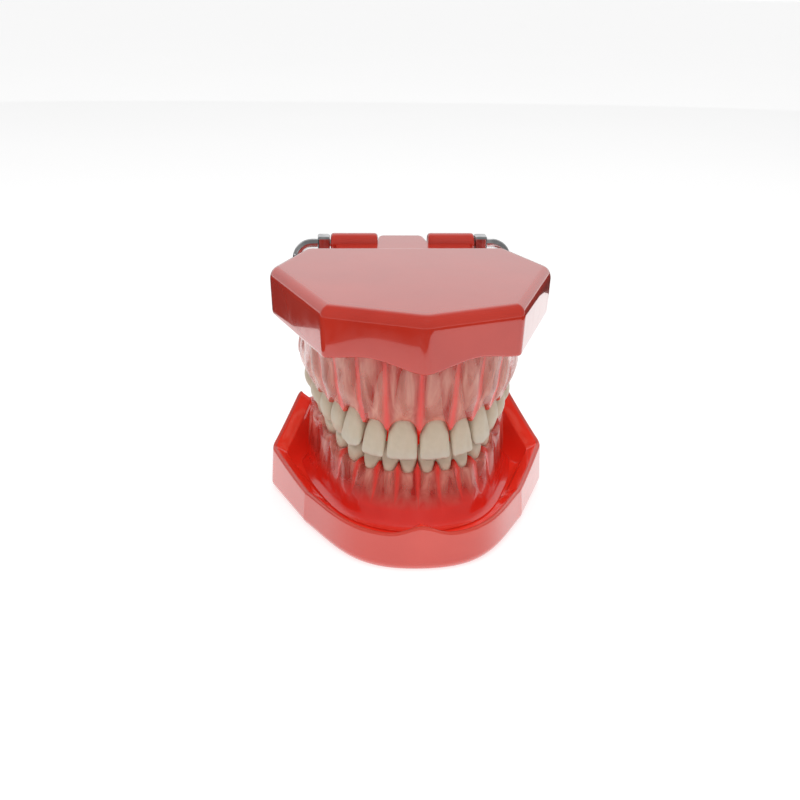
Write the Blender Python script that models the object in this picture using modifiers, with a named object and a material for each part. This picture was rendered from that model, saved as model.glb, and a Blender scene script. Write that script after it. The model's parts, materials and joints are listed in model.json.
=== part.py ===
"""Hinged typodont: two plastic bases, clear gum blocks with rooted teeth, and a wire hinge.

Lengths are in millimetres until a mesh is made, which is in metres. The mouth faces -Y, X runs
from side to side, and the origin is the middle of the lower base's flat underside.
"""

import math
from bisect import bisect_left
from collections import namedtuple

import bmesh
import bpy
from mathutils import Matrix, Vector
from mathutils.geometry import interpolate_bezier

MM = 0.001
GAP = 0.3  # between pieces that touch
SIDES = ((-1, "left"), (1, "right"))
SMALLEST_FILLET = 0.4
SHARP_ANGLE = 40.0
OUTLINE_STEP = 6.5

# Teeth: width along the arch, depth across it, crown height, root length and cusps.
Tooth = namedtuple("Tooth", "name width depth crown root cusps")
UPPER_TEETH = (
    Tooth("central_incisor", 8.5, 7.0, 12.0, 12.6, 0),
    Tooth("lateral_incisor", 6.7, 6.2, 11.2, 12.2, 0),
    Tooth("canine", 7.3, 7.6, 12.4, 13.6, 1),
    Tooth("first_premolar", 6.9, 8.8, 11.0, 12.2, 2),
    Tooth("second_premolar", 6.9, 8.8, 10.4, 12.0, 2),
    Tooth("first_molar", 9.6, 10.4, 9.4, 11.8, 4),
    Tooth("second_molar", 9.2, 10.2, 8.8, 11.2, 4),
)
LOWER_TEETH = (
    Tooth("central_incisor", 5.3, 5.6, 8.4, 9.6, 0),
    Tooth("lateral_incisor", 5.6, 5.8, 8.2, 9.8, 0),
    Tooth("canine", 6.6, 7.0, 8.0, 10.8, 1),
    Tooth("first_premolar", 6.8, 7.4, 7.2, 11.2, 2),
    Tooth("second_premolar", 6.9, 7.8, 6.8, 11.6, 2),
    Tooth("first_molar", 10.4, 9.8, 6.8, 11.6, 4),
    Tooth("second_molar", 9.8, 9.6, 6.8, 12.0, 4),
)

# Arches: the curve of the crowns' outer faces, a superellipse open at the back.
ARCH_POWER = 2.4
ARCH_CENTRE_Y = 42.0
ARCH_SAMPLES = 400
UPPER_ARCH_HALF_WIDTH = 31.5
UPPER_ARCH_FRONT_Y = -19.9
LOWER_ARCH_HALF_WIDTH = 28.2
LOWER_ARCH_FRONT_Y = -18.1
UPPER_EDGE_Z = 23.5  # incisal edge of the upper central incisors
BITE_SLOPE = 0.19  # rise of the bite plane towards the back
LOWER_FRONT_OVERLAP = 3.1  # how far the lower edges reach above the bite plane
LOWER_BACK_OVERLAP = 0.3
OVERLAP_CHANGE = (2.0, 9.0)  # where the overlap starts to fade behind the front, and how far on
LOWER_LEAN = 1.7  # how far the lower incisor edges lean in from their necks

# Tooth form.
TOOTH_SIDES = 8
TOOTH_SQUARENESS = 2.6  # 2 makes a round ring
NECK_WIDTH = 0.70  # share of the crown's width
NECK_DEPTH = 0.80
ROOT_SHAPE = ((0.22, 1.0), (0.55, 0.86), (0.84, 0.45), (1.0, 0.0))  # size, depth in the gum
LOW_CROWN = (0.22, 0.88, 0.94)  # height, width and depth of the ring above the neck
# Crown rings: height, width, depth, middle across the depth, lean, and share of the cusps.
FRONT_RINGS = (
    (0.45, 1.0, 0.84, -0.42, 0.25, 0.0),
    (0.78, 1.0, 0.42, -0.24, 0.62, 1.0),
    (1.0, 0.93, 0.16, -0.16, 1.0, 1.0),
)
BACK_RINGS = (
    (0.52, 1.0, 1.0, -0.5, 0.0, 0.0),
    (0.82, 0.97, 0.86, -0.5, 0.0, 0.0),
    (1.0, 0.80, 0.56, -0.5, 0.0, 1.0),
)
FOSSA_RING = (0.34, 0.16, 0.4)  # width, depth and share of the cusps at the hollow's floor
CONTACT_GAP = 0.15  # each side of a crown, so that neighbours stand clear
CANINE_POINT = 1.5
CUSP_HEIGHT = 0.7
FOSSA_DEPTH = 2.1
UPPER_INNER_DROP = 0.5  # how much lower the inner cusps stand
LOWER_INNER_DROP = 0.7
SOCKET_RINGS = 7  # a socket is cut by the root and the lower crown

# Gum blocks.
UPPER_RIDGE_TOP_Z = 56.0
UPPER_RIDGE_BULGE = 3.6  # how far the ridge stands out beyond the crowns at the front
UPPER_RIDGE_BULGE_BACK = 0.4
UPPER_PALATE_Z = 47.0
UPPER_PALATE_INSET = 5.3
UPPER_GUM_PAST = 5.0  # how far the gum runs on behind the last molar
LOWER_GUM_Z = 6.8
LOWER_RIDGE_FOOT = 6.6  # how far the ridge's foot stands out beyond the crowns at the front
LOWER_RIDGE_FOOT_BACK = 2.2
LOWER_GUM_PAST = 5.0
MARGIN_LIFT = 0.5  # how far the gum's edge covers the neck
PAPILLA_FRONT = 0.36  # the gum's reach between two teeth, as a share of the crown's height
PAPILLA_BACK = 0.2
PAPILLA_SHARPNESS = 3
STATION_SHARES = (0.0, 0.3, 0.7)  # of a tooth's width, where the gum's sections stand
LAST_BETWEEN = 0.6  # how far the gum reaches up behind the last tooth, against a gap
NARROWING_FROM = 0.55  # share of the arch past which the upper ridge narrows
LOWER_NARROWING_TO = 0.62  # share of the arch by which the lower ridge has narrowed
PALATE_REACH = 0.4  # share of the gum's run behind the last molar that the palate takes
PALATE_STEPS = 12

# Upper base: a seven-sided shell, flat on top. A corner is x, y and the radius of its fillet.
UPPER_TOP_Z = 67.4
UPPER_REAR = (29.6, 36.0, 3.0)
UPPER_WIDEST = (39.2, 14.0, 4.0)
UPPER_CANINE = (25.2, -22.8, 2.2)
UPPER_FRONT_Y = -32.6
UPPER_SKIRT_Z = 53.9
UPPER_SKIRT_LEVEL_Y = -19.8  # behind this the skirt is level
UPPER_KEEL_Z = 52.4
UPPER_KEEL_SHARPNESS = 1.3
UPPER_SKIRT_ARCH = 1.5  # rise of the skirt between the keel and the canine corner
UPPER_TOP_EDGE = ((2.4, 0.0), (1.0, 0.45), (0.2, 1.7), (0.0, 3.4))  # inset, drop from the top
UPPER_DRAFT = 0.4  # how far the wall leans in at its skirt
UPPER_WALL = 2.4
UPPER_CEILING_Z = 64.4
BLOCK_CLEARANCE = 0.5  # between the gum's block and the walls round it
BLOCK_OVERLAP = 1.0  # how far the block reaches down into the ridge
PALATE_OVERLAP = 2.0  # how far the palate reaches up into the block

# Lower base: a tray with straight sides and a round front.
LOWER_REAR = (31.6, 31.0, 2.5)
LOWER_WIDEST = (39.8, 15.0, 3.5)
LOWER_CANINE = (30.0, -9.0, 2.0)
LOWER_FRONT_Y = -34.8
LOWER_FRONT_REACH = (18.0, 17.0)  # the front curve's handles, at the midline and at the corner
LOWER_CANINE_LEAN = math.radians(30)  # the front curve's lean from straight back, at the corner
LOWER_FRONT_POINTS = 9
LOWER_FLOOR_Z = 6.5
LOWER_RIM_FRONT_Z = 10.1
LOWER_NOTCH_Z = 12.4
LOWER_RIM_SIDE_Z = 13.2
LOWER_HORN_Z = 24.7
LOWER_RIM_REAR_Z = 12.0
LOWER_NOTCH_WIDTH = 5.0
RIM_REAR_POWER = 4  # how late the rim rises: behind, beside the horns, and at the sides
RIM_HORN_POWER = 1.1
RIM_SIDE_POWER = 1.5
RIM_REAR_BAND = 0.5  # a rim point this near the rear wall belongs to it
LOWER_FOOT_EDGE = ((1.2, 0.0), (0.2, 0.7), (-0.5, 2.4))  # inset, height
LOWER_LIP = ((0.0, 0.5), (0.6, 0.0), (1.9, 0.5))  # inset, drop from the rim
LOWER_INNER_SLOPE = (3.0, 0.45)  # inset, share of the way from the floor to the rim
LOWER_FLOOR_INSET = 4.6

# Hinge: two barrels on a flange, and a bent rod with a square collar at each side.
HINGE_Y = 48.5
HINGE_Z = 65.2
BARREL_RADIUS = 3.1
BARREL_ROUNDING = 0.6
BARREL_INNER_X = 7.6
BARREL_OUTER_X = 21.8
ROD_RADIUS = 1.35
BORE_RADIUS = ROD_RADIUS + GAP
BORE_END_X = 9.4
FLANGE_HALF_WIDTH = 20.4
FLANGE_TOP_Z = 65.7
FLANGE_BOTTOM_Z = 61.6
FLANGE_REAR_Y = 49.6
FLANGE_ROOT = 1.4  # how far the flange runs into the base's wall
FLANGE_FILLET = 1.5
TONGUE_HALF_WIDTH = 7.3
TONGUE_REAR_Y = 57.0
TONGUE_TAPER = 0.6
TONGUE_FILLET = 2.0
COLLAR_SIDE = 5.0
COLLAR_WIDTH = 3.6
COLLAR_BEVEL = 0.35
ROD_TOP_X = 32.0  # the leg, below its top bend
ROD_BOTTOM_X = 26.4
ROD_BEND = 4.5
ROD_FOOT_Z = 3.4
ROD_STRAIGHT_Z = 16.0  # below this the leg is straight and upright
ROD_BEND_STEPS = 6
ROD_LEG_STEPS = 9
LUG_RADIUS = 3.9
LUG_TOP_Z = 14.0
LUG_ARM_BOTTOM_Z = 0.3
LUG_ARM_TOP_Z = 8.0
LUG_ARM_INNER = 3.4  # the arm's sides, measured from the lug's axis
LUG_ARM_OUTER = 2.4
LUG_ARM_ROOT = 2.5  # how far the arm runs into the tray's rear wall
CUTTER_MARGIN = 3.0  # how far a bore's cutter runs on past its mouth

CORAL = (0.80, 0.20, 0.16)
CLEAR_GUM = (0.90, 0.48, 0.44)
IVORY = (0.78, 0.72, 0.58)
CHROME = (0.75, 0.76, 0.77)


def smoothstep(t):
    """0 below 0, 1 above 1, and a smooth rise between."""
    t = min(max(t, 0.0), 1.0)
    return t * t * (3 - 2 * t)


def mix(a, b, t):
    return a + (b - a) * t


# Scene ---------------------------------------------------------------------------------------


def clear_scene():
    for obj in list(bpy.data.objects):
        bpy.data.objects.remove(obj, do_unlink=True)


def new_collection(name, hidden=False):
    collection = bpy.data.collections.new(name)
    collection.hide_render = hidden
    bpy.context.scene.collection.children.link(collection)
    return collection


def principled(name, colour, roughness, metallic=0.0, transmission=0.0):
    material = bpy.data.materials.new(name)
    material.use_nodes = True
    shader = material.node_tree.nodes["Principled BSDF"]
    shader.inputs["Base Color"].default_value = (*colour, 1.0)
    shader.inputs["Roughness"].default_value = roughness
    shader.inputs["Metallic"].default_value = metallic
    shader.inputs["Transmission Weight"].default_value = transmission
    return material


def finished(shape, name, material, collection):
    """An object from a bmesh in millimetres, with its faces turned outwards."""
    bmesh.ops.recalc_face_normals(shape, faces=shape.faces)
    bmesh.ops.scale(shape, vec=(MM, MM, MM), verts=shape.verts)
    mesh = bpy.data.meshes.new(name)
    shape.to_mesh(mesh)
    shape.free()
    mesh.shade_smooth()
    mesh.set_sharp_from_angle(angle=math.radians(SHARP_ANGLE))
    if material:
        mesh.materials.append(material)
    obj = bpy.data.objects.new(name, mesh)
    collection.objects.link(obj)
    return obj


def lofted(name, rings, material, collection):
    """A capped skin over closed rings of equal length."""
    shape = bmesh.new()
    made = [[shape.verts.new(point) for point in ring] for ring in rings]
    for low, high in zip(made, made[1:]):
        for i in range(len(low)):
            shape.faces.new((low[i - 1], low[i], high[i], high[i - 1]))
    shape.faces.new(made[0])
    shape.faces.new(made[-1])
    return finished(shape, name, material, collection)


def extruded(name, corners, low, high, collection):
    """A flat outline raised from low to high."""
    shape = bmesh.new()
    outline = [shape.verts.new((x, y, low)) for x, y in rounded_outline(corners)]
    face = shape.faces.new(outline)
    raised = bmesh.ops.extrude_face_region(shape, geom=[face])["geom"]
    top = [item for item in raised if isinstance(item, bmesh.types.BMVert)]
    bmesh.ops.translate(shape, vec=(0, 0, high - low), verts=top)
    return finished(shape, name, None, collection)


def cylinder(name, radius, length, middle, along_x, collection, sides=16):
    """A cylinder of this length about its middle, along X or else upright."""
    turned = Matrix.Rotation(math.pi / 2, 4, "Y") if along_x else Matrix.Identity(4)
    shape = bmesh.new()
    bmesh.ops.create_cone(
        shape,
        cap_ends=True,
        segments=sides,
        radius1=radius,
        radius2=radius,
        depth=length,
        matrix=Matrix.Translation(middle) @ turned,
    )
    return finished(shape, name, None, collection)


def box(name, low, high, material, collection):
    """A box between two opposite corners."""
    low, high = Vector(low), Vector(high)
    size = Matrix.Diagonal((*(high - low), 1.0))
    shape = bmesh.new()
    bmesh.ops.create_cube(shape, matrix=Matrix.Translation((low + high) / 2) @ size)
    return finished(shape, name, material, collection)


def bevelled(obj, width, segments):
    modifier = obj.modifiers.new("edges", "BEVEL")
    modifier.width = width * MM
    modifier.segments = segments
    modifier.limit_method = "ANGLE"
    modifier.angle_limit = math.radians(60)


def as_cutter(obj):
    obj.hide_render = True
    obj.display_type = "WIRE"


def boolean(obj, other, operation):
    modifier = obj.modifiers.new(f"{operation.lower()} {other.name}", "BOOLEAN")
    modifier.operation = operation
    modifier.object = other
    as_cutter(other)


# Outlines ------------------------------------------------------------------------------------


def inset_corners(corners, inset):
    """The corners (x, y, radius) of a convex outline, moved inwards by inset."""
    moved = []
    for i, (x, y, radius) in enumerate(corners):
        before, after = corners[i - 1], corners[(i + 1) % len(corners)]
        in_x, in_y = x - before[0], y - before[1]
        out_x, out_y = after[0] - x, after[1] - y
        in_length, out_length = math.hypot(in_x, in_y), math.hypot(out_x, out_y)
        n1 = (-in_y / in_length, in_x / in_length)
        n2 = (-out_y / out_length, out_x / out_length)
        scale = inset / (1 + n1[0] * n2[0] + n1[1] * n2[1])
        inner_radius = max(radius - inset, SMALLEST_FILLET) if radius else 0.0
        moved.append((x + (n1[0] + n2[0]) * scale, y + (n1[1] + n2[1]) * scale, inner_radius))
    return moved


def rounded_outline(corners, fillet_points=3):
    """Points round an outline of corners (x, y, radius), with the corners filleted."""
    points = []
    for i, (x, y, radius) in enumerate(corners):
        before, after = corners[i - 1], corners[(i + 1) % len(corners)]
        a = (before[0] - x, before[1] - y)
        b = (after[0] - x, after[1] - y)
        a_length, b_length = math.hypot(*a), math.hypot(*b)
        cosine = (a[0] * b[0] + a[1] * b[1]) / (a_length * b_length)
        half = math.acos(max(-1.0, min(1.0, cosine))) / 2
        reach = radius / math.tan(half) if radius else 0.0
        start = (x + a[0] / a_length * reach, y + a[1] / a_length * reach)
        end = (x + b[0] / b_length * reach, y + b[1] / b_length * reach)
        if not radius:
            points.append((x, y))
            continue
        for k in range(fillet_points):
            t = k / (fillet_points - 1)
            # A quadratic curve with the corner as its middle handle.
            px = (1 - t) ** 2 * start[0] + 2 * t * (1 - t) * x + t * t * end[0]
            py = (1 - t) ** 2 * start[1] + 2 * t * (1 - t) * y + t * t * end[1]
            points.append((px, py))
    return points


def subdivided(corners, longest):
    """The corners of an open run with plain points added, so that no edge is longer."""
    run = [corners[0]]
    for before, after in zip(corners, corners[1:]):
        pieces = max(1, round(math.dist(before[:2], after[:2]) / longest))
        for k in range(1, pieces):
            t = k / pieces
            run.append((mix(before[0], after[0], t), mix(before[1], after[1], t), 0.0))
        run.append(after)
    return run


def mirrored(half):
    """A whole outline, anticlockwise, from its half at +X, given from front to back."""
    return half + [(-x, y, radius) for x, y, radius in reversed(half) if x > 0]


def upper_outline():
    """The upper base in plan: a front point, then canine, widest and rear corners."""
    half = [
        (0.0, UPPER_FRONT_Y, 0.0),
        UPPER_CANINE,
        UPPER_WIDEST,
        UPPER_REAR,
        (0.0, UPPER_REAR[1], 0.0),
    ]
    return mirrored(subdivided(half, OUTLINE_STEP))


def lower_outline():
    """The lower base in plan: a round front between the canine corners, then straight sides."""
    front, canine = Vector((0.0, LOWER_FRONT_Y)), Vector(LOWER_CANINE[:2])
    front_reach, canine_reach = LOWER_FRONT_REACH
    lean = Vector((math.sin(LOWER_CANINE_LEAN), math.cos(LOWER_CANINE_LEAN)))
    curve = interpolate_bezier(
        front,
        front + Vector((front_reach, 0.0)),
        canine - lean * canine_reach,
        canine,
        LOWER_FRONT_POINTS,
    )
    half = [(point.x, point.y, 0.0) for point in curve[:-1]]
    back = [LOWER_CANINE, LOWER_WIDEST, LOWER_REAR, (0.0, LOWER_REAR[1], 0.0)]
    return mirrored(half + subdivided(back, OUTLINE_STEP))


def upper_skirt_z(x, y):
    """Height of the skirt's lower edge: level at the sides, and a keel at the front."""
    if y > UPPER_SKIRT_LEVEL_Y:
        return UPPER_SKIRT_Z
    share = min(abs(x) / UPPER_CANINE[0], 1.0)
    arch = UPPER_SKIRT_ARCH * math.sin(math.pi * share) ** 2
    return mix(UPPER_KEEL_Z, UPPER_SKIRT_Z, smoothstep(share * UPPER_KEEL_SHARPNESS)) + arch


def lower_rim_z(x, y):
    """Height of the tray's rim: a notch at the midline, and a horn at each rear corner."""
    if y > LOWER_REAR[1] - RIM_REAR_BAND:
        share = abs(x) / LOWER_REAR[0]
        return mix(LOWER_RIM_REAR_Z, LOWER_HORN_Z, share**RIM_REAR_POWER)
    if y > LOWER_WIDEST[1]:
        share = (y - LOWER_WIDEST[1]) / (LOWER_REAR[1] - LOWER_WIDEST[1])
        return mix(LOWER_RIM_SIDE_Z, LOWER_HORN_Z, share**RIM_HORN_POWER)
    if y > LOWER_CANINE[1]:
        share = (y - LOWER_CANINE[1]) / (LOWER_WIDEST[1] - LOWER_CANINE[1])
        return mix(LOWER_RIM_FRONT_Z, LOWER_RIM_SIDE_Z, share**RIM_SIDE_POWER)
    rise = LOWER_NOTCH_Z - LOWER_RIM_FRONT_Z
    return LOWER_RIM_FRONT_Z + rise * math.exp(-((x / LOWER_NOTCH_WIDTH) ** 2))


# Bases ---------------------------------------------------------------------------------------


def ring_at(corners, inset, height):
    """The outline moved in by inset, at height, a number or a function of the plan point."""
    outer = rounded_outline(corners)
    inner = rounded_outline(inset_corners(corners, inset))
    ring = []
    for (x, y), (outer_x, outer_y) in zip(inner, outer):
        z = height(outer_x, outer_y) if callable(height) else height
        ring.append((x, y, z))
    return ring


def upper_shell(material, collection):
    corners = upper_outline()
    rings = [ring_at(corners, inset, UPPER_TOP_Z - drop) for inset, drop in UPPER_TOP_EDGE]
    rings.append(ring_at(corners, UPPER_DRAFT, upper_skirt_z))
    rings.append(ring_at(corners, UPPER_DRAFT + UPPER_WALL, upper_skirt_z))
    rings.append(ring_at(corners, UPPER_WALL, UPPER_CEILING_Z))
    return lofted("upper_base", rings, material, collection)


def lower_tray(material, collection):
    corners = lower_outline()
    slope_inset, slope_share = LOWER_INNER_SLOPE

    def below_rim(drop):
        return lambda x, y: lower_rim_z(x, y) - drop

    rings = [ring_at(corners, inset, z) for inset, z in LOWER_FOOT_EDGE]
    rings += [ring_at(corners, inset, below_rim(drop)) for inset, drop in LOWER_LIP]
    rings.append(
        ring_at(
            corners,
            slope_inset,
            lambda x, y: mix(LOWER_FLOOR_Z, lower_rim_z(x, y), slope_share),
        )
    )
    rings.append(ring_at(corners, LOWER_FLOOR_INSET, LOWER_FLOOR_Z))
    return lofted("lower_base", rings, material, collection)


def add_barrels(base, cutters):
    """The flange behind the upper base, and the two barrels on it with their blind bores."""
    root_y = UPPER_REAR[1] - FLANGE_ROOT
    half = [
        (0.0, root_y, 0.0),
        (FLANGE_HALF_WIDTH, root_y, 0.0),
        (FLANGE_HALF_WIDTH, FLANGE_REAR_Y, FLANGE_FILLET),
        (TONGUE_HALF_WIDTH, FLANGE_REAR_Y, 0.0),
        (TONGUE_HALF_WIDTH - TONGUE_TAPER, TONGUE_REAR_Y, TONGUE_FILLET),
        (0.0, TONGUE_REAR_Y, 0.0),
    ]
    flange = extruded("flange", mirrored(half), FLANGE_BOTTOM_Z, FLANGE_TOP_Z, cutters)
    boolean(base, flange, "UNION")
    length = BARREL_OUTER_X - BARREL_INNER_X
    bore_length = BARREL_OUTER_X + CUTTER_MARGIN - BORE_END_X
    for side, name in SIDES:
        middle = (side * (BARREL_INNER_X + length / 2), HINGE_Y, HINGE_Z)
        barrel = cylinder(f"barrel_{name}", BARREL_RADIUS, length, middle, True, cutters)
        bevelled(barrel, BARREL_ROUNDING, 2)
        boolean(base, barrel, "UNION")
        middle = (side * (BORE_END_X + bore_length / 2), HINGE_Y, HINGE_Z)
        bore = cylinder(f"bore_{name}", BORE_RADIUS, bore_length, middle, True, cutters, 12)
        boolean(base, bore, "DIFFERENCE")


def add_lugs(base, cutters):
    """Two lugs behind the tray, each with an upright bore for the foot of a hinge rod."""
    bore_bottom = ROD_FOOT_Z - GAP
    bore_length = LUG_TOP_Z + CUTTER_MARGIN - bore_bottom
    for side, name in SIDES:
        x = side * ROD_BOTTOM_X
        inner, outer = sorted((x - side * LUG_ARM_INNER, x + side * LUG_ARM_OUTER))
        low = (inner, LOWER_REAR[1] - LUG_ARM_ROOT, LUG_ARM_BOTTOM_Z)
        arm = box(f"lug_arm_{name}", low, (outer, HINGE_Y, LUG_ARM_TOP_Z), None, cutters)
        boolean(base, arm, "UNION")
        middle = (x, HINGE_Y, LUG_TOP_Z / 2)
        boss = cylinder(f"lug_{name}", LUG_RADIUS, LUG_TOP_Z, middle, False, cutters)
        boolean(base, boss, "UNION")
        middle = (x, HINGE_Y, bore_bottom + bore_length / 2)
        bore = cylinder(f"lug_bore_{name}", BORE_RADIUS, bore_length, middle, False, cutters, 12)
        boolean(base, bore, "DIFFERENCE")


# Arches --------------------------------------------------------------------------------------


class Arch:
    """One jaw's arch curve, read by the distance along it from the midline, negative at -X."""

    def __init__(self, half_width, front_y, teeth):
        depth = ARCH_CENTRE_Y - front_y
        self.teeth = teeth
        self.points = []
        for k in range(ARCH_SAMPLES + 1):
            angle = math.pi / 2 * k / ARCH_SAMPLES
            x = half_width * math.sin(angle) ** (2 / ARCH_POWER)
            y = ARCH_CENTRE_Y - depth * math.cos(angle) ** (2 / ARCH_POWER)
            self.points.append((x, y))
        self.lengths = [0.0]
        for before, after in zip(self.points, self.points[1:]):
            self.lengths.append(self.lengths[-1] + math.dist(before, after))

    def half_at(self, s):
        i = min(max(bisect_left(self.lengths, s), 1), len(self.lengths) - 1)
        t = (s - self.lengths[i - 1]) / (self.lengths[i] - self.lengths[i - 1])
        before, after = self.points[i - 1], self.points[i]
        return mix(before[0], after[0], t), mix(before[1], after[1], t)

    def at(self, s):
        x, y = self.half_at(abs(s))
        return (math.copysign(x, s), y)

    def outward(self, s):
        """Unit vector out of the mouth, square to the curve."""
        step = 0.8
        a, b = self.at(s - step), self.at(s + step)
        length = math.dist(a, b)
        return ((b[1] - a[1]) / length, -(b[0] - a[0]) / length)

    def offset(self, s, outwards):
        """The curve's point at s, moved outwards."""
        (x, y), (nx, ny) = self.at(s), self.outward(s)
        return x + nx * outwards, y + ny * outwards

    def places(self):
        """(tooth, side, distance of its middle from the midline) for every tooth."""
        found = []
        for side in (-1, 1):
            start = 0.0
            for tooth in self.teeth:
                found.append((tooth, side, side * (start + tooth.width / 2)))
                start += tooth.width
        return found

    def length(self):
        return sum(tooth.width for tooth in self.teeth)

    def turn(self, tooth, s):
        """How far the curve turns across one tooth, in radians."""
        s = abs(s)
        half = tooth.width / 2
        a, b = self.outward(s - half), self.outward(s + half)
        return math.atan2(b[1], b[0]) - math.atan2(a[1], a[0])


def bite_z(y):
    """Height of the upper teeth's edges and outer cusps."""
    return UPPER_EDGE_Z + BITE_SLOPE * (y - UPPER_ARCH_FRONT_Y)


def crown_tip_z(upper, y):
    if upper:
        return bite_z(y)
    start, reach = OVERLAP_CHANGE
    share = smoothstep((y - LOWER_ARCH_FRONT_Y - start) / reach)
    return bite_z(y) + mix(LOWER_FRONT_OVERLAP, LOWER_BACK_OVERLAP, share)


# Teeth ---------------------------------------------------------------------------------------


def tooth_ring(width, depth, across, along, lift=None):
    """A squared ring of a tooth, centred at across in its depth, and at height along.

    lift adds to the height at each place on the ring, given as a cosine and sine.
    """
    ring = []
    for k in range(TOOTH_SIDES):
        angle = math.tau * k / TOOTH_SIDES
        c, s = math.cos(angle), math.sin(angle)
        swell = (abs(c) ** TOOTH_SQUARENESS + abs(s) ** TOOTH_SQUARENESS) ** (
            -1 / TOOTH_SQUARENESS
        )
        z = along + (lift(c, s) if lift else 0.0)
        ring.append((width / 2 * c * swell, across + depth / 2 * s * swell, z))
    return ring


def root_rings(tooth, width):
    """The root from its tip to the neck, which is at 0, and on to the low crown."""
    middle = -tooth.depth / 2
    neck_width, neck_depth = width * NECK_WIDTH, tooth.depth * NECK_DEPTH
    rings = []
    for size, height in ROOT_SHAPE:
        rings.append(
            tooth_ring(neck_width * size, neck_depth * size, middle, -tooth.root * height)
        )
    height, wide, deep = LOW_CROWN
    rings.append(tooth_ring(width * wide, tooth.depth * deep, middle, tooth.crown * height))
    return rings


def crown_rings(tooth, width, lean, rows, cusps):
    """Rings from a table of rows. cusps is the height of the crown's edge at a place on it."""
    rings = []
    for height, wide, deep, middle, lean_share, cusp_share in rows:
        across = tooth.depth * middle - lean * lean_share
        rings.append(
            tooth_ring(
                width * wide,
                tooth.depth * deep,
                across,
                tooth.crown * height,
                cusps if cusp_share else None,
            )
        )
    return rings


def front_crown(tooth, width, lean):
    """Crown rings of a front tooth: a thin edge, or one raised to a point on a canine."""
    point = CANINE_POINT if tooth.cusps else 0.0

    def peak(c, s):
        return -point * abs(c)

    return crown_rings(tooth, width, lean, FRONT_RINGS, peak)


def back_crown(tooth, width, inner_drop):
    """Crown rings of a back tooth: a raised cusp edge, lower on the inside, round a hollow."""

    def edge(c, s):
        corners = abs(2 * c * s) if tooth.cusps == 4 else abs(s)
        return -CUSP_HEIGHT * (1 - corners) - (inner_drop if s < 0 else 0.0)

    wide, deep, share = FOSSA_RING

    def hollow(c, s):
        return edge(c, s) * share

    floor = tooth.crown - FOSSA_DEPTH
    fossa = tooth_ring(width * wide, tooth.depth * deep, -tooth.depth / 2, floor, hollow)
    return [*crown_rings(tooth, width, 0.0, BACK_RINGS, edge), fossa]


def tooth_rings(upper, tooth, turn):
    """One tooth in its own space. It narrows inwards by as much as the arch turns across it."""
    width = tooth.width - 2 * CONTACT_GAP
    rings = root_rings(tooth, width)
    if tooth.cusps < 2:
        rings += front_crown(tooth, width, 0.0 if upper else LOWER_LEAN)
    else:
        rings += back_crown(tooth, width, UPPER_INNER_DROP if upper else LOWER_INNER_DROP)
    taper = turn / tooth.width
    return [[(x * (1 + taper * y), y, z) for x, y, z in ring] for ring in rings]


def grown(rings, by):
    """The rings moved outwards all round, and down at the root's tip."""
    bigger = []
    for ring in rings:
        middle = sum(point[1] for point in ring) / len(ring)
        moved = []
        for x, y, z in ring:
            share = 1 + by / math.hypot(x, y - middle)
            moved.append((x * share, middle + (y - middle) * share, z))
        bigger.append(moved)
    bigger[0] = [(x, y, z - by) for x, y, z in bigger[0]]
    return bigger


def put_in_arch(obj, arch, upper, tooth, s):
    """Places a tooth made in its own space: x along the arch, y outwards, z from neck to edge.

    The tooth leans along the arch to stand square to the bite plane.
    """
    x, y = arch.at(s)
    nx, ny = arch.outward(s)
    tip = crown_tip_z(upper, arch.offset(s, -tooth.depth / 2)[1])
    neck = tip + tooth.crown if upper else tip - tooth.crown
    along = Vector((-ny, nx, BITE_SLOPE * nx)).normalized()
    outwards = Vector((nx, ny, 0.0))
    if not upper:
        along = -along
    axes = Matrix((along, outwards, along.cross(outwards))).transposed().to_4x4()
    obj.matrix_world = Matrix.Translation((x * MM, y * MM, neck * MM)) @ axes


def add_teeth(arch, upper, material, collection):
    """Every tooth of one jaw, and a cutter a little bigger than its root for its socket."""
    jaw = "upper" if upper else "lower"
    sockets = new_collection(f"{jaw}_sockets", hidden=True)
    teeth = []
    for tooth, side, s in arch.places():
        rings = tooth_rings(upper, tooth, arch.turn(tooth, s))
        name = f"{jaw}_{'left' if side < 0 else 'right'}_{tooth.name}"
        obj = lofted(name, rings, material, collection)
        put_in_arch(obj, arch, upper, tooth, s)
        teeth.append(obj)
        socket = lofted(f"{name}_socket", grown(rings[:SOCKET_RINGS], GAP), None, sockets)
        put_in_arch(socket, arch, upper, tooth, s)
        as_cutter(socket)
    return teeth, sockets


# Gums ----------------------------------------------------------------------------------------


Station = namedtuple("Station", "s tooth between along fade")


def gum_stations(arch, past_end):
    """Where the gum's sections stand along the whole arch.

    between is 1 in the gap between two teeth and 0 at a tooth's middle, along is the share of
    the arch's length, and fade rises to 1 over the stretch behind the last tooth.
    """
    places = []
    start = 0.0
    for tooth in arch.teeth:
        for share in STATION_SHARES:
            between = abs(2 * share - 1) ** PAPILLA_SHARPNESS
            places.append((start + share * tooth.width, tooth, between))
        start += tooth.width
    last = arch.teeth[-1]
    places.append((start, last, LAST_BETWEEN))
    places.append((start + past_end * 0.5, last, 0.0))
    places.append((start + past_end, last, 0.0))
    half = []
    for s, tooth, between in places:
        fade = smoothstep((s - start) / past_end)
        half.append(Station(s, tooth, between, min(s / start, 1.0), fade))
    return [station._replace(s=-station.s) for station in reversed(half[1:])] + half


def papilla(station):
    """How far the gum reaches past its margin at this station."""
    share = mix(PAPILLA_FRONT, PAPILLA_BACK, smoothstep(station.along * 2))
    return station.between * share * station.tooth.crown


def section(arch, station, profile):
    """A section of the ridge from its profile of (outward distance, height)."""
    return [(*arch.offset(station.s, out), z) for out, z in profile]


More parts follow.
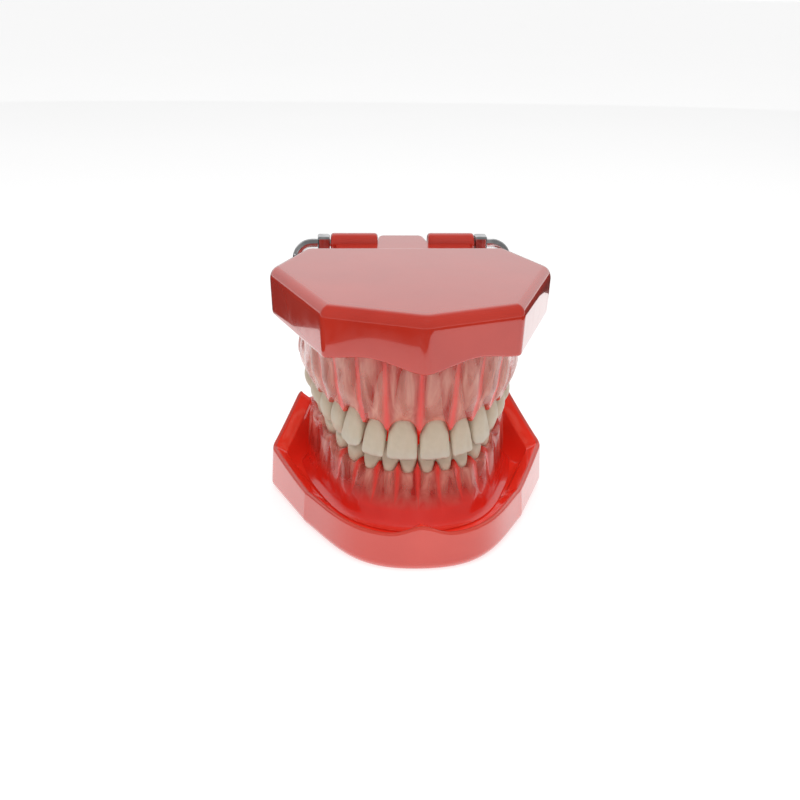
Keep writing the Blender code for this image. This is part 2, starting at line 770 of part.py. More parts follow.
def upper_ridge(arch):
    """Sections of the upper gum's ridge, from the base block down to the gum's edge.

    A profile runs from the outer face round the edge to the palate's side.
    """
    rings = []
    for station in gum_stations(arch, UPPER_GUM_PAST):
        depth, fade = station.tooth.depth, station.fade
        neck = bite_z(arch.offset(station.s, -depth / 2)[1]) + station.tooth.crown
        edge = neck - MARGIN_LIFT - papilla(station) + fade * 3.0
        narrowing = smoothstep((station.along - NARROWING_FROM) / (1 - NARROWING_FROM))
        bulge = mix(UPPER_RIDGE_BULGE, UPPER_RIDGE_BULGE_BACK, narrowing) - fade * 2.0
        profile = (
            (bulge, UPPER_RIDGE_TOP_Z),
            (bulge * 0.75, mix(neck, UPPER_RIDGE_TOP_Z, 0.5)),
            (0.9 - fade * 2.0, neck + 1.2),
            (0.1 - fade * 1.5, edge),
            (-depth * 0.5, edge - 0.2),
            (-depth + fade, edge),
            (-depth - 1.4, neck + 1.5),
            (-depth - 3.6, mix(neck, UPPER_PALATE_Z, 0.6)),
            (-depth - 6.0, UPPER_PALATE_Z + 1.0),
            (-depth - 5.0, UPPER_RIDGE_TOP_Z),
        )
        rings.append(section(arch, station, profile))
    return rings


def lower_ridge(arch):
    """Sections of the lower gum's ridge, from the tray's floor up to the gum's edge.

    A profile runs from the outer face round the edge to the tongue's side.
    """
    rings = []
    for station in gum_stations(arch, LOWER_GUM_PAST):
        depth, fade = station.tooth.depth, station.fade
        neck = crown_tip_z(False, arch.offset(station.s, -depth / 2)[1]) - station.tooth.crown
        edge = neck + MARGIN_LIFT + papilla(station) - fade * 2.0
        narrowing = smoothstep(station.along / LOWER_NARROWING_TO)
        foot = mix(LOWER_RIDGE_FOOT, LOWER_RIDGE_FOOT_BACK, narrowing) - fade
        profile = (
            (foot, LOWER_GUM_Z),
            (foot * 0.9, LOWER_GUM_Z + 2.2),
            (mix(foot, 1.2, 0.72), mix(LOWER_GUM_Z, neck, 0.6)),
            (0.9 - fade, neck - 1.0),
            (0.1 - fade, edge),
            (-depth * 0.5, edge + 0.2),
            (-depth + fade, edge),
            (-depth - 1.2, neck - 1.4),
            (-depth - 2.6, mix(LOWER_GUM_Z, neck, 0.4)),
            (-depth - 3.6, LOWER_GUM_Z),
        )
        rings.append(section(arch, station, profile))
    return rings


def palate_outline(arch):
    """The arch's curve moved inwards, closed straight across at the back."""
    reach = arch.length() + UPPER_GUM_PAST * PALATE_REACH
    half = []
    for k in range(PALATE_STEPS + 1):
        x, y = arch.offset(reach * k / PALATE_STEPS, -UPPER_PALATE_INSET)
        half.append((x if k else 0.0, y, 0.0))
    half.append((0.0, half[-1][1], 0.0))
    return mirrored(half)


def cut_sockets(gum, sockets):
    modifier = gum.modifiers.new("tooth sockets", "BOOLEAN")
    modifier.operation = "DIFFERENCE"
    modifier.operand_type = "COLLECTION"
    modifier.collection = sockets


def upper_gum(arch, sockets, material, collection, cutters):
    """The ridge, the palate inside it and the block that fills the base, in one casting."""
    gum = lofted("upper_gum", upper_ridge(arch), material, collection)
    outline = palate_outline(arch)
    palate_top = UPPER_RIDGE_TOP_Z + PALATE_OVERLAP
    palate = extruded("palate", outline, UPPER_PALATE_Z, palate_top, cutters)
    boolean(gum, palate, "UNION")
    inside = inset_corners(upper_outline(), UPPER_WALL + UPPER_DRAFT + BLOCK_CLEARANCE)
    block_bottom = UPPER_RIDGE_TOP_Z - BLOCK_OVERLAP
    block = extruded("block", inside, block_bottom, UPPER_CEILING_Z - GAP, cutters)
    boolean(gum, block, "UNION")
    cut_sockets(gum, sockets)
    return gum


def lower_gum(arch, sockets, material, collection):
    gum = lofted("lower_gum", lower_ridge(arch), material, collection)
    cut_sockets(gum, sockets)
    return gum


# Hinge ---------------------------------------------------------------------------------------


def rod_points(side):
    """The rod from inside its barrel, out and down beside the jaws, to its foot in the lug."""
    points = [(BORE_END_X + GAP, HINGE_Z), (ROD_TOP_X - ROD_BEND, HINGE_Z)]
    for k in range(1, ROD_BEND_STEPS + 1):
        angle = math.pi / 2 * k / ROD_BEND_STEPS
        x = ROD_TOP_X - ROD_BEND * (1 - math.sin(angle))
        points.append((x, HINGE_Z - ROD_BEND * (1 - math.cos(angle))))
    for k in range(1, ROD_LEG_STEPS + 1):
        share = 1 - k / ROD_LEG_STEPS
        x = mix(ROD_BOTTOM_X, ROD_TOP_X, smoothstep(share))
        points.append((x, mix(ROD_STRAIGHT_Z, HINGE_Z - ROD_BEND, share)))
    points.append((ROD_BOTTOM_X, ROD_FOOT_Z))
    return [(side * x, HINGE_Y, z) for x, z in points]


def hinge_rod(name, side, material, collection):
    curve = bpy.data.curves.new(name, "CURVE")
    curve.dimensions = "3D"
    curve.bevel_depth = ROD_RADIUS * MM
    curve.bevel_resolution = 2
    curve.use_fill_caps = True
    points = rod_points(side)
    spline = curve.splines.new("POLY")
    spline.points.add(len(points) - 1)
    for handle, point in zip(spline.points, points):
        handle.co = (*[c * MM for c in point], 1.0)
    curve.materials.append(material)
    rod = bpy.data.objects.new(name, curve)
    collection.objects.link(rod)
    return rod


def square_collar(name, side, material, collection, cutters):
    """A square block that the rod runs through, just outside the barrel."""
    x = side * (BARREL_OUTER_X + GAP + COLLAR_WIDTH / 2)
    middle = Vector((x, HINGE_Y, HINGE_Z))
    half = Vector((COLLAR_WIDTH, COLLAR_SIDE, COLLAR_SIDE)) / 2
    collar = box(name, middle - half, middle + half, material, collection)
    length = COLLAR_WIDTH + CUTTER_MARGIN
    bore = cylinder(f"{name}_bore", BORE_RADIUS, length, middle, True, cutters, 12)
    boolean(collar, bore, "DIFFERENCE")
    bevelled(collar, COLLAR_BEVEL, 1)
    return collar


# Assembly ------------------------------------------------------------------------------------


def hang_on(parent_name, location, children, collection):
    """An empty at a jaw's natural point, which carries the jaw's pieces where they are."""
    empty = bpy.data.objects.new(parent_name, None)
    empty.location = [c * MM for c in location]
    collection.objects.link(empty)
    bpy.context.view_layer.update()
    for child in children:
        child.parent = empty
        child.matrix_parent_inverse = empty.matrix_world.inverted()


def main():
    clear_scene()
    parts = new_collection("typodont")
    cutters = new_collection("cutters", hidden=True)
    coral = principled("coral_plastic", CORAL, 0.15)
    clear = principled("clear_gum", CLEAR_GUM, 0.08, transmission=0.8)
    ivory = principled("ivory_resin", IVORY, 0.25)
    chrome = principled("chrome", CHROME, 0.12, metallic=1.0)

    upper_arch = Arch(UPPER_ARCH_HALF_WIDTH, UPPER_ARCH_FRONT_Y, UPPER_TEETH)
    lower_arch = Arch(LOWER_ARCH_HALF_WIDTH, LOWER_ARCH_FRONT_Y, LOWER_TEETH)

    upper = upper_shell(coral, parts)
    add_barrels(upper, cutters)
    lower = lower_tray(coral, parts)
    add_lugs(lower, cutters)
    upper_teeth, upper_sockets = add_teeth(upper_arch, True, ivory, parts)
    lower_teeth, lower_sockets = add_teeth(lower_arch, False, ivory, parts)
    gum_above = upper_gum(upper_arch, upper_sockets, clear, parts, cutters)
    gum_below = lower_gum(lower_arch, lower_sockets, clear, parts)
    hinge = []
    for side, name in SIDES:
        hinge.append(hinge_rod(f"hinge_rod_{name}", side, chrome, parts))
        hinge.append(square_collar(f"hinge_collar_{name}", side, chrome, parts, cutters))

    hang_on("lower_jaw", (0, 0, 0), [lower, gum_below, *lower_teeth, *hinge], parts)
    hang_on("upper_jaw", (0, HINGE_Y, HINGE_Z), [upper, gum_above, *upper_teeth], parts)


main()
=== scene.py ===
"""Looks of the hinged typodont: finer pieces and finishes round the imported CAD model.

Shapes are worked out in millimetres in the model's own frame, with the mouth facing -Y and the
origin in the middle of the lower base's flat underside. Their driving sizes repeat the CAD's.
The top face, the hinge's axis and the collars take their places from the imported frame.
"""

import json
import math
from bisect import bisect_left
from collections import namedtuple

import bmesh
import bpy
from mathutils import Matrix, Vector
from mathutils.geometry import interpolate_bezier

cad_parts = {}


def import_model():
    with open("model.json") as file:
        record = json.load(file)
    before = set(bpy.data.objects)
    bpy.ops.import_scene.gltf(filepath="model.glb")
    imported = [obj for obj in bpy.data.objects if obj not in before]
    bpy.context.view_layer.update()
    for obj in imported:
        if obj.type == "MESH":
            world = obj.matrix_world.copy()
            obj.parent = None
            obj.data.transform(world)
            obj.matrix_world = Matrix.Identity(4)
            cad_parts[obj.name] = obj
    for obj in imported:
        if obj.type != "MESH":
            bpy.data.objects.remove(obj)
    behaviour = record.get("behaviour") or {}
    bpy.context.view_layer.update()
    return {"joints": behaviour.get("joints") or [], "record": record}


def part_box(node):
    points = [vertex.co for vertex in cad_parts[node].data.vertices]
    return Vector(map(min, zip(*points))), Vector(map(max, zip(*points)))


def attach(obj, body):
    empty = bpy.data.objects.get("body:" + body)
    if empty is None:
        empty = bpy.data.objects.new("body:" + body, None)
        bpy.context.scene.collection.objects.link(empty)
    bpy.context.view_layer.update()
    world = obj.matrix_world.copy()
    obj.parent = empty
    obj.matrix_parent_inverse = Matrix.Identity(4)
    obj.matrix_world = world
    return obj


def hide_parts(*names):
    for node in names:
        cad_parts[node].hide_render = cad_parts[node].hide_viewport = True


MM = 0.001
SIDES = ((-1, "left"), (1, "right"))
SHARP_ANGLE = 50.0
EDGE_STEPS = 6  # faces across a rounded edge

# Teeth, as in the CAD: width along the arch, depth across it, crown height, root and cusps.
Tooth = namedtuple("Tooth", "name width depth crown root cusps")
UPPER_TEETH = (
    Tooth("central_incisor", 8.5, 7.0, 12.0, 12.6, 0),
    Tooth("lateral_incisor", 6.7, 6.2, 11.2, 12.2, 0),
    Tooth("canine", 7.3, 7.6, 12.4, 13.6, 1),
    Tooth("first_premolar", 6.9, 8.8, 11.0, 12.2, 2),
    Tooth("second_premolar", 6.9, 8.8, 10.4, 12.0, 2),
    Tooth("first_molar", 9.6, 10.4, 9.4, 11.8, 4),
    Tooth("second_molar", 9.2, 10.2, 8.8, 11.2, 4),
)
LOWER_TEETH = (
    Tooth("central_incisor", 5.3, 5.6, 8.4, 9.6, 0),
    Tooth("lateral_incisor", 5.6, 5.8, 8.2, 9.8, 0),
    Tooth("canine", 6.6, 7.0, 8.0, 10.8, 1),
    Tooth("first_premolar", 6.8, 7.4, 7.2, 11.2, 2),
    Tooth("second_premolar", 6.9, 7.8, 6.8, 11.6, 2),
    Tooth("first_molar", 10.4, 9.8, 6.8, 11.6, 4),
    Tooth("second_molar", 9.8, 9.6, 6.8, 12.0, 4),
)

# Arches, as in the CAD: superellipses of the crowns' outer faces.
ARCH_POWER = 2.4
ARCH_CENTRE_Y = 42.0
ARCH_SAMPLES = 800
UPPER_ARCH = (31.5, -19.9)  # half width, front
LOWER_ARCH = (28.2, -18.1)
UPPER_EDGE_Z = 23.5
BITE_SLOPE = 0.19
LOWER_FRONT_OVERLAP = 3.1
LOWER_BACK_OVERLAP = 0.3
LOWER_LEAN = 1.7  # how far a lower front tooth's edge leans in
LOWER_CHANGE = (2.0, 9.0)  # where the overlap changes, behind the front: its start and reach

# Tooth form. Rows are shares: height of the crown, width, depth, and middle across the depth.
TOOTH_SIDES = 40
ROWS_PER_SPAN = 3
CONTACT_GAP = 0.06
ROOT_ROWS = (
    (-1.0, 0.06, 0.06, -0.5),
    (-0.975, 0.18, 0.20, -0.5),
    (-0.88, 0.36, 0.42, -0.5),
    (-0.62, 0.52, 0.60, -0.5),
    (-0.28, 0.62, 0.73, -0.5),
)
INCISOR_ROWS = (
    (0.0, 0.68, 0.80, -0.50),
    (0.14, 0.78, 0.90, -0.485),
    (0.30, 0.90, 0.90, -0.455),
    (0.45, 0.98, 0.76, -0.385),
    (0.60, 1.0, 0.60, -0.305),
    (0.76, 1.0, 0.43, -0.225),
    (0.90, 1.0, 0.30, -0.168),
    (0.97, 0.98, 0.22, -0.142),
    (1.0, 0.93, 0.12, -0.135),
)
INCISOR_CORNER = 0.55  # how far the edge's corners are rounded off
CHEWING_ROWS = (
    (0.0, 0.70, 0.80, -0.5),
    (0.16, 0.82, 0.91, -0.5),
    (0.38, 0.95, 0.99, -0.5),
    (0.60, 1.0, 0.99, -0.5),
    (0.80, 0.96, 0.87, -0.5),
    (0.94, 0.88, 0.70, -0.5),
)
# The chewing face, from its rim inwards: size in width and depth, share of the cusps, and drop.
TABLE_ROWS = (
    (0.78, 0.54, 1.0, 0.0),
    (0.62, 0.40, 0.85, 0.5),
    (0.42, 0.25, 0.5, 1.3),
    (0.20, 0.11, 0.2, 1.9),
    (0.05, 0.03, 0.0, 2.1),
)
CANINE_POINT = 1.5
CUSP_HEIGHT = 0.9
UPPER_INNER_DROP = 0.5
LOWER_INNER_DROP = 0.7
GROOVE = 0.22  # depth of the shallow upright grooves on the outer faces
GROOVE_PLACE = (0.42, 0.16)  # a groove's middle and spread, across half a tooth
INNER_NARROWING = 0.10
ROOT_SQUARENESS = 2.2
INCISOR_SQUARENESS = (2.2, 3.0)  # at the neck and at the edge
CHEWING_SQUARENESS = (2.3, 2.9)
TABLE_SQUARENESS = 2.6

# Gums.
STATION_STEP = 0.55
UPPER_GUM_TOP_Z = 57.0
UPPER_RIDGE_TOP_Z = 56.0
UPPER_PALATE_Z = 46.6
PALATE_RISE = 3.4  # how much higher the vault's middle stands
PALATE_FRONT_Y = -8.0
PALATE_RUN = 26.0  # how far behind its front the vault reaches its full height
PALATE_STEPS = 14
UPPER_BULGE = (3.6, 0.4)  # how far the ridge stands out beyond the crowns, front and back
LOWER_GUM_Z = 6.9
LOWER_FOOT = (6.6, 2.2)
GUM_PAST = 5.0
MARGIN_LIFT = 0.6
PAPILLA = (0.36, 0.22)  # the gum's reach between teeth, as a share of the crown, front and back
PAPILLA_INSET = 1.0
FOOT_FLARE = 2.0  # how far the lower gum's foot spreads over the tray's floor
ROOT_RIDGE = 0.75  # how far the gum swells over a root
UPPER_MARGIN = 21  # the place on a section at which the gum meets the teeth
LOWER_MARGIN = 22
RED_BEHIND = 3  # places past the margin from which the gum is solid red
RED_FROM = (0.8, 0.12)  # across a tooth's half width, at the wedge's point and at the margin
RED_REACH = (0.45, 0.75)  # shares of the arch between which the red wedges fade

# Upper base.
UPPER_REAR = (29.6, 36.0, 3.5)
UPPER_WIDEST = (39.2, 14.0, 4.5)
UPPER_CANINE = (25.2, -22.8, 2.4)
UPPER_FRONT_Y = -32.6
UPPER_FRONT_FILLET = 5.0
UPPER_SKIRT_Z = 53.9
UPPER_KEEL_Z = 52.4
UPPER_SKIRT_ARCH = 1.5
UPPER_EDGE = (2.6, 3.4)  # the rounded top edge: inset, drop
UPPER_EDGE_STEPS = 10
UPPER_TOP_BAND = 1.2  # width of the first band of the flat top
UPPER_DRAFT = 0.4
UPPER_WALL = 2.4
UPPER_CEILING_Z = 57.2
SKIRT_ROUND = 0.8
SKIRT_EDGES = (  # the skirt's lower edges, outside and inside: inset, lift
    (0.1, 0.42),
    (0.32, 0.14),
    (SKIRT_ROUND, 0.0),
    (UPPER_WALL - SKIRT_ROUND, 0.0),
    (UPPER_WALL - 0.2, 0.25),
    (UPPER_WALL, SKIRT_ROUND),
)
WALL_STEPS = 8

# Lower base.
LOWER_REAR = (31.6, 31.0, 2.8)
LOWER_WIDEST = (39.8, 15.0, 4.0)
LOWER_CANINE = (30.0, -9.0, 2.4)
LOWER_FRONT_Y = -34.8
LOWER_FRONT_REACH = (18.0, 17.0)  # the front curve's handles, at the midline and at the corner
LOWER_CANINE_LEAN = math.radians(30)
LOWER_FRONT_POINTS = 32
LOWER_FLOOR_Z = 6.5
LOWER_RIM_FRONT_Z = 10.1
LOWER_NOTCH_Z = 12.4
LOWER_NOTCH_WIDTH = 5.0
LOWER_RIM_SIDE_Z = 13.2
LOWER_HORN_Z = 24.7
LOWER_RIM_REAR_Z = 12.0
LOWER_BAND = 2.4  # width of the sloping band inside the rim at the sides
LOWER_BAND_END_Y = -13.5
LOWER_BAND_FADE = 2.5
BAND_SLOPE = 0.6  # how far the band falls, as a share of its width
BAND_EDGES = ((1.75, 0.5, 0.45), (1.95, 0.85, BAND_SLOPE))  # inset, drop, slope
LOWER_PEAK = (1.6, 3.2)  # the inner wall's bulge at the midline: its size and spread
# Sections of the tray's wall: inset and height, inset and drop, inset and share of the height.
LOWER_HEEL = ((1.6, 0.0), (0.75, 0.12), (0.1, 0.8), (-0.35, 1.6), (-0.5, 2.4))
LOWER_RIM = ((0.0, 0.7), (0.08, 0.3), (0.3, 0.07), (0.65, 0.0), (1.2, 0.08), (1.6, 0.3))
LOWER_INNER_WALL = ((2.3, 0.5), (2.8, 0.25), (3.5, 0.08))
LOWER_FLOOR_EDGE = ((4.4, 0.05), (5.4, 0.0))  # where the wall runs out on the floor: inset, lift
LIT_RIM_ROWS = 2  # rows of the rim, counted from its inside, that already take the tray's brighter red, painted light
OUTLINE_STEP = 1.3
FILLET_POINTS = 9

# Hinge.
BARREL_RADIUS = 3.1
BARREL_ROUNDING = 0.9
BARREL_X = (7.6, 21.8)
BORE_RADIUS = 1.65
BORE_END_X = 9.4
AXIS_RADIUS = 0.02  # how near a turned body's end faces come to their axis
MOUTH_BEVEL = 0.25
FLANGE_Z = (61.6, 65.7)
FLANGE_HALF_WIDTH = 20.4
FLANGE_REAR_Y = 49.6
FLANGE_ROOT = 3.0  # how far the flange runs into the base
FLANGE_ROUNDING = 0.7
TONGUE_ROOT_HALF_WIDTH = 7.7
TONGUE_TIP_HALF_WIDTH = 6.7
TONGUE_REAR_Y = 57.0
COLLAR_SIDE = 5.0
COLLAR_WIDTH = 3.6
COLLAR_FILLET = 0.9
COLLAR_EDGE = ((0.45, 0.0), (0.13, 0.13), (0.0, 0.45))  # the rounded edge: inset, and inwards
COLLAR_MOUTH = 0.2
ROD_RADIUS = 1.35
ROD_TOP_X = 32.0
ROD_BOTTOM_X = 26.4
ROD_BEND = 4.5
ROD_FOOT_Z = 3.4
ROD_STRAIGHT_Z = 16.0
ROD_BEND_STEPS = 12
ROD_LEG_STEPS = 24
END_GAP = 0.3  # between a rod's end and the bottom of its bore
LUG_RADIUS = 3.9
LUG_TOP_Z = 14.0
LUG_ROUNDING = 0.6
LUG_ARM_Z = (0.3, 8.0)
LUG_ARM_INNER = 3.4  # the arm's sides, measured from the lug's axis
LUG_ARM_OUTER = 2.4
LUG_ARM_ROOT = 2.5  # how far the arm runs into the tray's rear wall
LUG_ARM_FILLET = 0.5
TURN_STEPS = 48

# Camera and studio.
CAMERA_AZIMUTH = -4.5
CAMERA_ELEVATION = 22.1
CAMERA_ROLL = 1.1
CAMERA_DISTANCE = 305.6
CAMERA_TARGET = (-3.5, 1.8, 32.6)
CAMERA_LENS = 49.7
CAMERA_SENSOR = 36.0
CAMERA_CLIP = (0.01, 20.0)
FLOOR_REACH = 4000.0
FLOOR_TONE = 0.45
FLOOR_GLOW = 0.72
FLAG_RADIUS = (178.0, 900.0)
FLAG_CENTRE = (38.0, 15.0)
FLAG_SQUARENESS = 3.0
FLAG_STEPS = 96
WORLD_LEAN = (0.0, 0.97, 0.24)  # the direction in which the surroundings are brightest
WORLD_RANGE = (0.35, 0.9)  # cosines to that direction between which they brighten
WORLD_STRENGTH = (0.26, 0.78)
LIGHT_AIM = (0.0, 0.0, 0.03)
SOFTBOXES = (  # name, place and size in metres, power
    ("overhead", (0.1, -0.1, 0.8), (0.8, 0.8), 3.4),
    ("front", (-0.15, -0.5, 0.6), (1.2, 0.6), 2.2),
)

# Colours, each a pair between which a pattern varies.
CORAL = ((0.50, 0.026, 0.012), (0.58, 0.036, 0.018))
# Painted light: the lower base takes a lighter copy of the coral for the brighter light it gets
# from the table.
LOWER_CORAL_LIT = ((0.68, 0.055, 0.036), (0.76, 0.07, 0.046))
# Painted light: the tray's inside takes a brighter red than the coral, with a faint glow, for
# light shining through the plastic from the table.
TRAY_LIT_RED = ((0.76, 0.024, 0.012), (0.86, 0.04, 0.02))
TRAY_PAINTED_GLOW = 0.16
UPPER_RESIN = ((0.80, 0.075, 0.045), (0.92, 0.42, 0.32))
LOWER_RESIN = ((0.84, 0.028, 0.016), (0.92, 0.34, 0.26))
SOLID_RED = (0.84, 0.028, 0.015)
UPPER_SOLID_Z = (50.0, 60.0)  # heights between which the gum turns solid red
LOWER_SOLID_Z = (19.0, 11.0)
GUM_ALPHA = (0.32, 0.72)


def smoothstep(t):
    """0 below 0, 1 above 1, and a smooth rise between."""
    t = min(max(t, 0.0), 1.0)
    return t * t * (3 - 2 * t)


def mix(a, b, t):
    return a + (b - a) * t


def catmull_rom(a, b, c, d, t):
    """Where the smooth curve through b and c, with a before and d after, stands at t."""
    bend = (2 * a - 5 * b + 4 * c - d) * t * t + (3 * b - a - 3 * c + d) * t**3
    return 0.5 * (2 * b + (c - a) * t + bend)


def smooth_run(points, steps):
    """Points on a Catmull-Rom curve through the given tuples, with this many to a span."""
    padded = [points[0], *points, points[-1]]
    run = []
    for span in zip(padded, padded[1:], padded[2:], padded[3:]):
        for k in range(steps):
            run.append(tuple(catmull_rom(*values, k / steps) for values in zip(*span)))
    run.append(tuple(points[-1]))
    return run


def squared_circle(c, s, squareness):
    """Distance to a superellipse with unit half axes in the direction (c, s)."""
    return (abs(c) ** squareness + abs(s) ** squareness) ** (-1 / squareness)


def quarter_turn(steps):
    """Pairs of 1 - sin and 1 - cos, from a right angle's start to its end."""
    angles = [math.pi / 2 * k / steps for k in range(steps + 1)]
    return [(1 - math.sin(angle), 1 - math.cos(angle)) for angle in angles]


# ---- Meshes ----


def add_object(name, data):
    obj = bpy.data.objects.new(name, data)
    bpy.context.scene.collection.objects.link(obj)
    return obj


def make_object(name, shape, material):
    """An object from a bmesh in millimetres, smooth but for its sharp edges."""
    bmesh.ops.recalc_face_normals(shape, faces=shape.faces)
    bmesh.ops.scale(shape, vec=(MM, MM, MM), verts=shape.verts)
    mesh = bpy.data.meshes.new(name)
    shape.to_mesh(mesh)
    shape.free()
    mesh.shade_smooth()
    mesh.set_sharp_from_angle(angle=math.radians(SHARP_ANGLE))
    mesh.materials.append(material)
    obj = add_object(name, mesh)
    return obj


def add_loft(shape, rings, closed=False, second_material_from=None):
    """A skin over closed rings, with its ends capped, or joined to each other if closed.

    From the ring given by the last argument on, faces take the object's second material.
    """
    made = [[shape.verts.new(point) for point in ring] for ring in rings]
    pairs = list(zip(made, made[1:]))
    if closed:
        pairs.append((made[-1], made[0]))
    second_start = len(rings) if second_material_from is None else second_material_from
    for k, (low, high) in enumerate(pairs):
        for i in range(len(low)):
            face = shape.faces.new((low[i - 1], low[i], high[i], high[i - 1]))
            face.material_index = int(k >= second_start)
    if not closed:
        shape.faces.new(made[0])
        shape.faces.new(made[-1]).material_index = int(second_start < len(rings))


def add_turned(shape, profile, place):
    """A ring-shaped body turned about the Z axis of place from a closed profile (radius, z)."""
    rings = []
    for k in range(TURN_STEPS):
        angle = math.tau * k / TURN_STEPS
        c, s = math.cos(angle), math.sin(angle)
        rings.append([place @ Vector((r * c, r * s, z)) for r, z in profile])
    add_loft(shape, rings, closed=True)


def weighted_normals(obj):
    modifier = obj.modifiers.new("flat faces stay flat", "WEIGHTED_NORMAL")
    modifier.keep_sharp = True


# ---- Outlines ----


def mirrored(half):
    """A whole outline, anticlockwise, from its half at +X, given from front to back."""
    return half + [(-x, y, radius) for x, y, radius in reversed(half) if x > 0]


def inset_corners(corners, inset):
    """The corners (x, y, radius) of a convex outline, moved inwards by inset."""
    moved = []
    for i, (x, y, radius) in enumerate(corners):
        before, after = corners[i - 1], corners[(i + 1) % len(corners)]
        into = (Vector((x, y)) - Vector(before[:2])).normalized()
        out = (Vector(after[:2]) - Vector((x, y))).normalized()
        n1, n2 = Vector((-into.y, into.x)), Vector((-out.y, out.x))
        shift = (n1 + n2) * (inset / (1 + n1.dot(n2)))
        inner = max(radius - inset, 0.5) if radius else 0.0
        moved.append((x + shift.x, y + shift.y, inner))
    return moved


def fillet(before, corner, after):
    """Points round one corner: the corner itself, or a curve with the corner as its handle."""
    x, y, radius = corner
    point = Vector((x, y))
    if not radius:
        return [point]
    a = Vector(before[:2]) - point
    b = Vector(after[:2]) - point
    reach = radius / math.tan(a.angle(b) / 2)
    start, end = point + a.normalized() * reach, point + b.normalized() * reach
    run = []
    for k in range(FILLET_POINTS):
        t = k / (FILLET_POINTS - 1)
        run.append((1 - t) ** 2 * start + 2 * t * (1 - t) * point + t * t * end)
    return run


def outline_points(corners, inset, counts=None):
    """Points round an outline moved in by inset, and how many lie on each straight side."""
    moved = inset_corners(corners, inset)
    size = len(moved)
    turns = [fillet(moved[i - 1], moved[i], moved[(i + 1) % size]) for i in range(size)]
    new_counts, points = [], []
    for i, turn in enumerate(turns):
        points += turn
        start, end = turn[-1], turns[(i + 1) % size][0]
        count = counts[i] if counts else max(int((end - start).length / OUTLINE_STEP), 0)
        new_counts.append(count)
        for k in range(1, count + 1):
            points.append(start.lerp(end, k / (count + 1)))
    return points, new_counts


class Outline:
    """Rings round one outline, all with matching points."""

    def __init__(self, corners):
        self.corners = corners
        self.outer, self.counts = outline_points(corners, 0.0)

    def ring(self, inset, height, push=None):
        """The ring at inset and height. push adds to the inset at a point of the outline."""
        inner, _ = outline_points(self.corners, inset, self.counts)
        ring = []
        for point, outer in zip(inner, self.outer):
            z = height(outer.x, outer.y) if callable(height) else height
            if push:
                middle = Vector((0.0, outer.y * 0.5))
                point = point + (middle - outer).normalized() * push(outer.x, outer.y)
            ring.append((point.x, point.y, z))
        return ring


def upper_outline():
    half = [(0.0, UPPER_FRONT_Y, UPPER_FRONT_FILLET), UPPER_CANINE, UPPER_WIDEST, UPPER_REAR]
    return Outline(mirrored(half))


def lower_outline():
    """A round front between the canine corners, then straight sides."""
    front, canine = Vector((0.0, LOWER_FRONT_Y)), Vector(LOWER_CANINE[:2])
    front_reach, canine_reach = LOWER_FRONT_REACH
    lean = Vector((math.sin(LOWER_CANINE_LEAN), math.cos(LOWER_CANINE_LEAN)))
    handles = (front + Vector((front_reach, 0.0)), canine - lean * canine_reach)
    curve = interpolate_bezier(front, *handles, canine, LOWER_FRONT_POINTS)
    half = [(point.x, point.y, 0.0) for point in curve[:-1]]
    return Outline(mirrored([*half, LOWER_CANINE, LOWER_WIDEST, LOWER_REAR]))


def upper_skirt_z(x, y):
    """Height of the skirt's lower edge: level at the sides, and a keel at the front."""
    if y > UPPER_CANINE[1] + 3:
        return UPPER_SKIRT_Z
    share = min(abs(x) / UPPER_CANINE[0], 1.0)
    arch = UPPER_SKIRT_ARCH * math.sin(math.pi * share) ** 2
    return mix(UPPER_KEEL_Z, UPPER_SKIRT_Z, smoothstep(share * 1.3)) + arch


def lower_rim_z(x, y):
    """Height of the tray's rim: a peak at the midline, and a horn at each rear corner."""
    if y > LOWER_REAR[1] - 0.5:
        return mix(LOWER_RIM_REAR_Z, LOWER_HORN_Z, (abs(x) / LOWER_REAR[0]) ** 4)
    if y > LOWER_WIDEST[1]:
        share = (y - LOWER_WIDEST[1]) / (LOWER_REAR[1] - LOWER_WIDEST[1])
        return mix(LOWER_RIM_SIDE_Z, LOWER_HORN_Z, share**1.1)
    if y > LOWER_CANINE[1]:
        share = (y - LOWER_CANINE[1]) / (LOWER_WIDEST[1] - LOWER_CANINE[1])
        return mix(LOWER_RIM_FRONT_Z, LOWER_RIM_SIDE_Z, share**1.5)
    rise = LOWER_NOTCH_Z - LOWER_RIM_FRONT_Z
    return LOWER_RIM_FRONT_Z + rise * math.exp(-((x / LOWER_NOTCH_WIDTH) ** 2))


# ---- Bases ----


def add_upper_shell(shape):
    outline = upper_outline()
    inset, drop = UPPER_EDGE
    rings = [outline.ring(inset + UPPER_TOP_BAND, TOP_Z)]
    for inward, down in quarter_turn(UPPER_EDGE_STEPS):
        rings.append(outline.ring(inset * inward, TOP_Z - drop * down))

    def above_skirt(share, lift):
        return lambda x, y: mix(TOP_Z - drop, upper_skirt_z(x, y) + lift, share)

    for k in range(1, WALL_STEPS + 1):
        share = k / WALL_STEPS
        rings.append(outline.ring(UPPER_DRAFT * share, above_skirt(share, SKIRT_ROUND)))
    for step_in, lift in SKIRT_EDGES:
        rings.append(outline.ring(UPPER_DRAFT + step_in, above_skirt(1.0, lift)))
    rings.append(outline.ring(UPPER_DRAFT + UPPER_WALL, UPPER_CEILING_Z))
    add_loft(shape, rings)


def add_plate(shape, corners, low, high, rounding):
    """A plate with its upper and lower edges rounded."""
    outline = Outline(corners)
    turn = quarter_turn(EDGE_STEPS)
    rings = [outline.ring(rounding * a, low + rounding * b) for a, b in turn]
    rings += [outline.ring(rounding * b, high - rounding * a) for a, b in turn]
    add_loft(shape, rings)


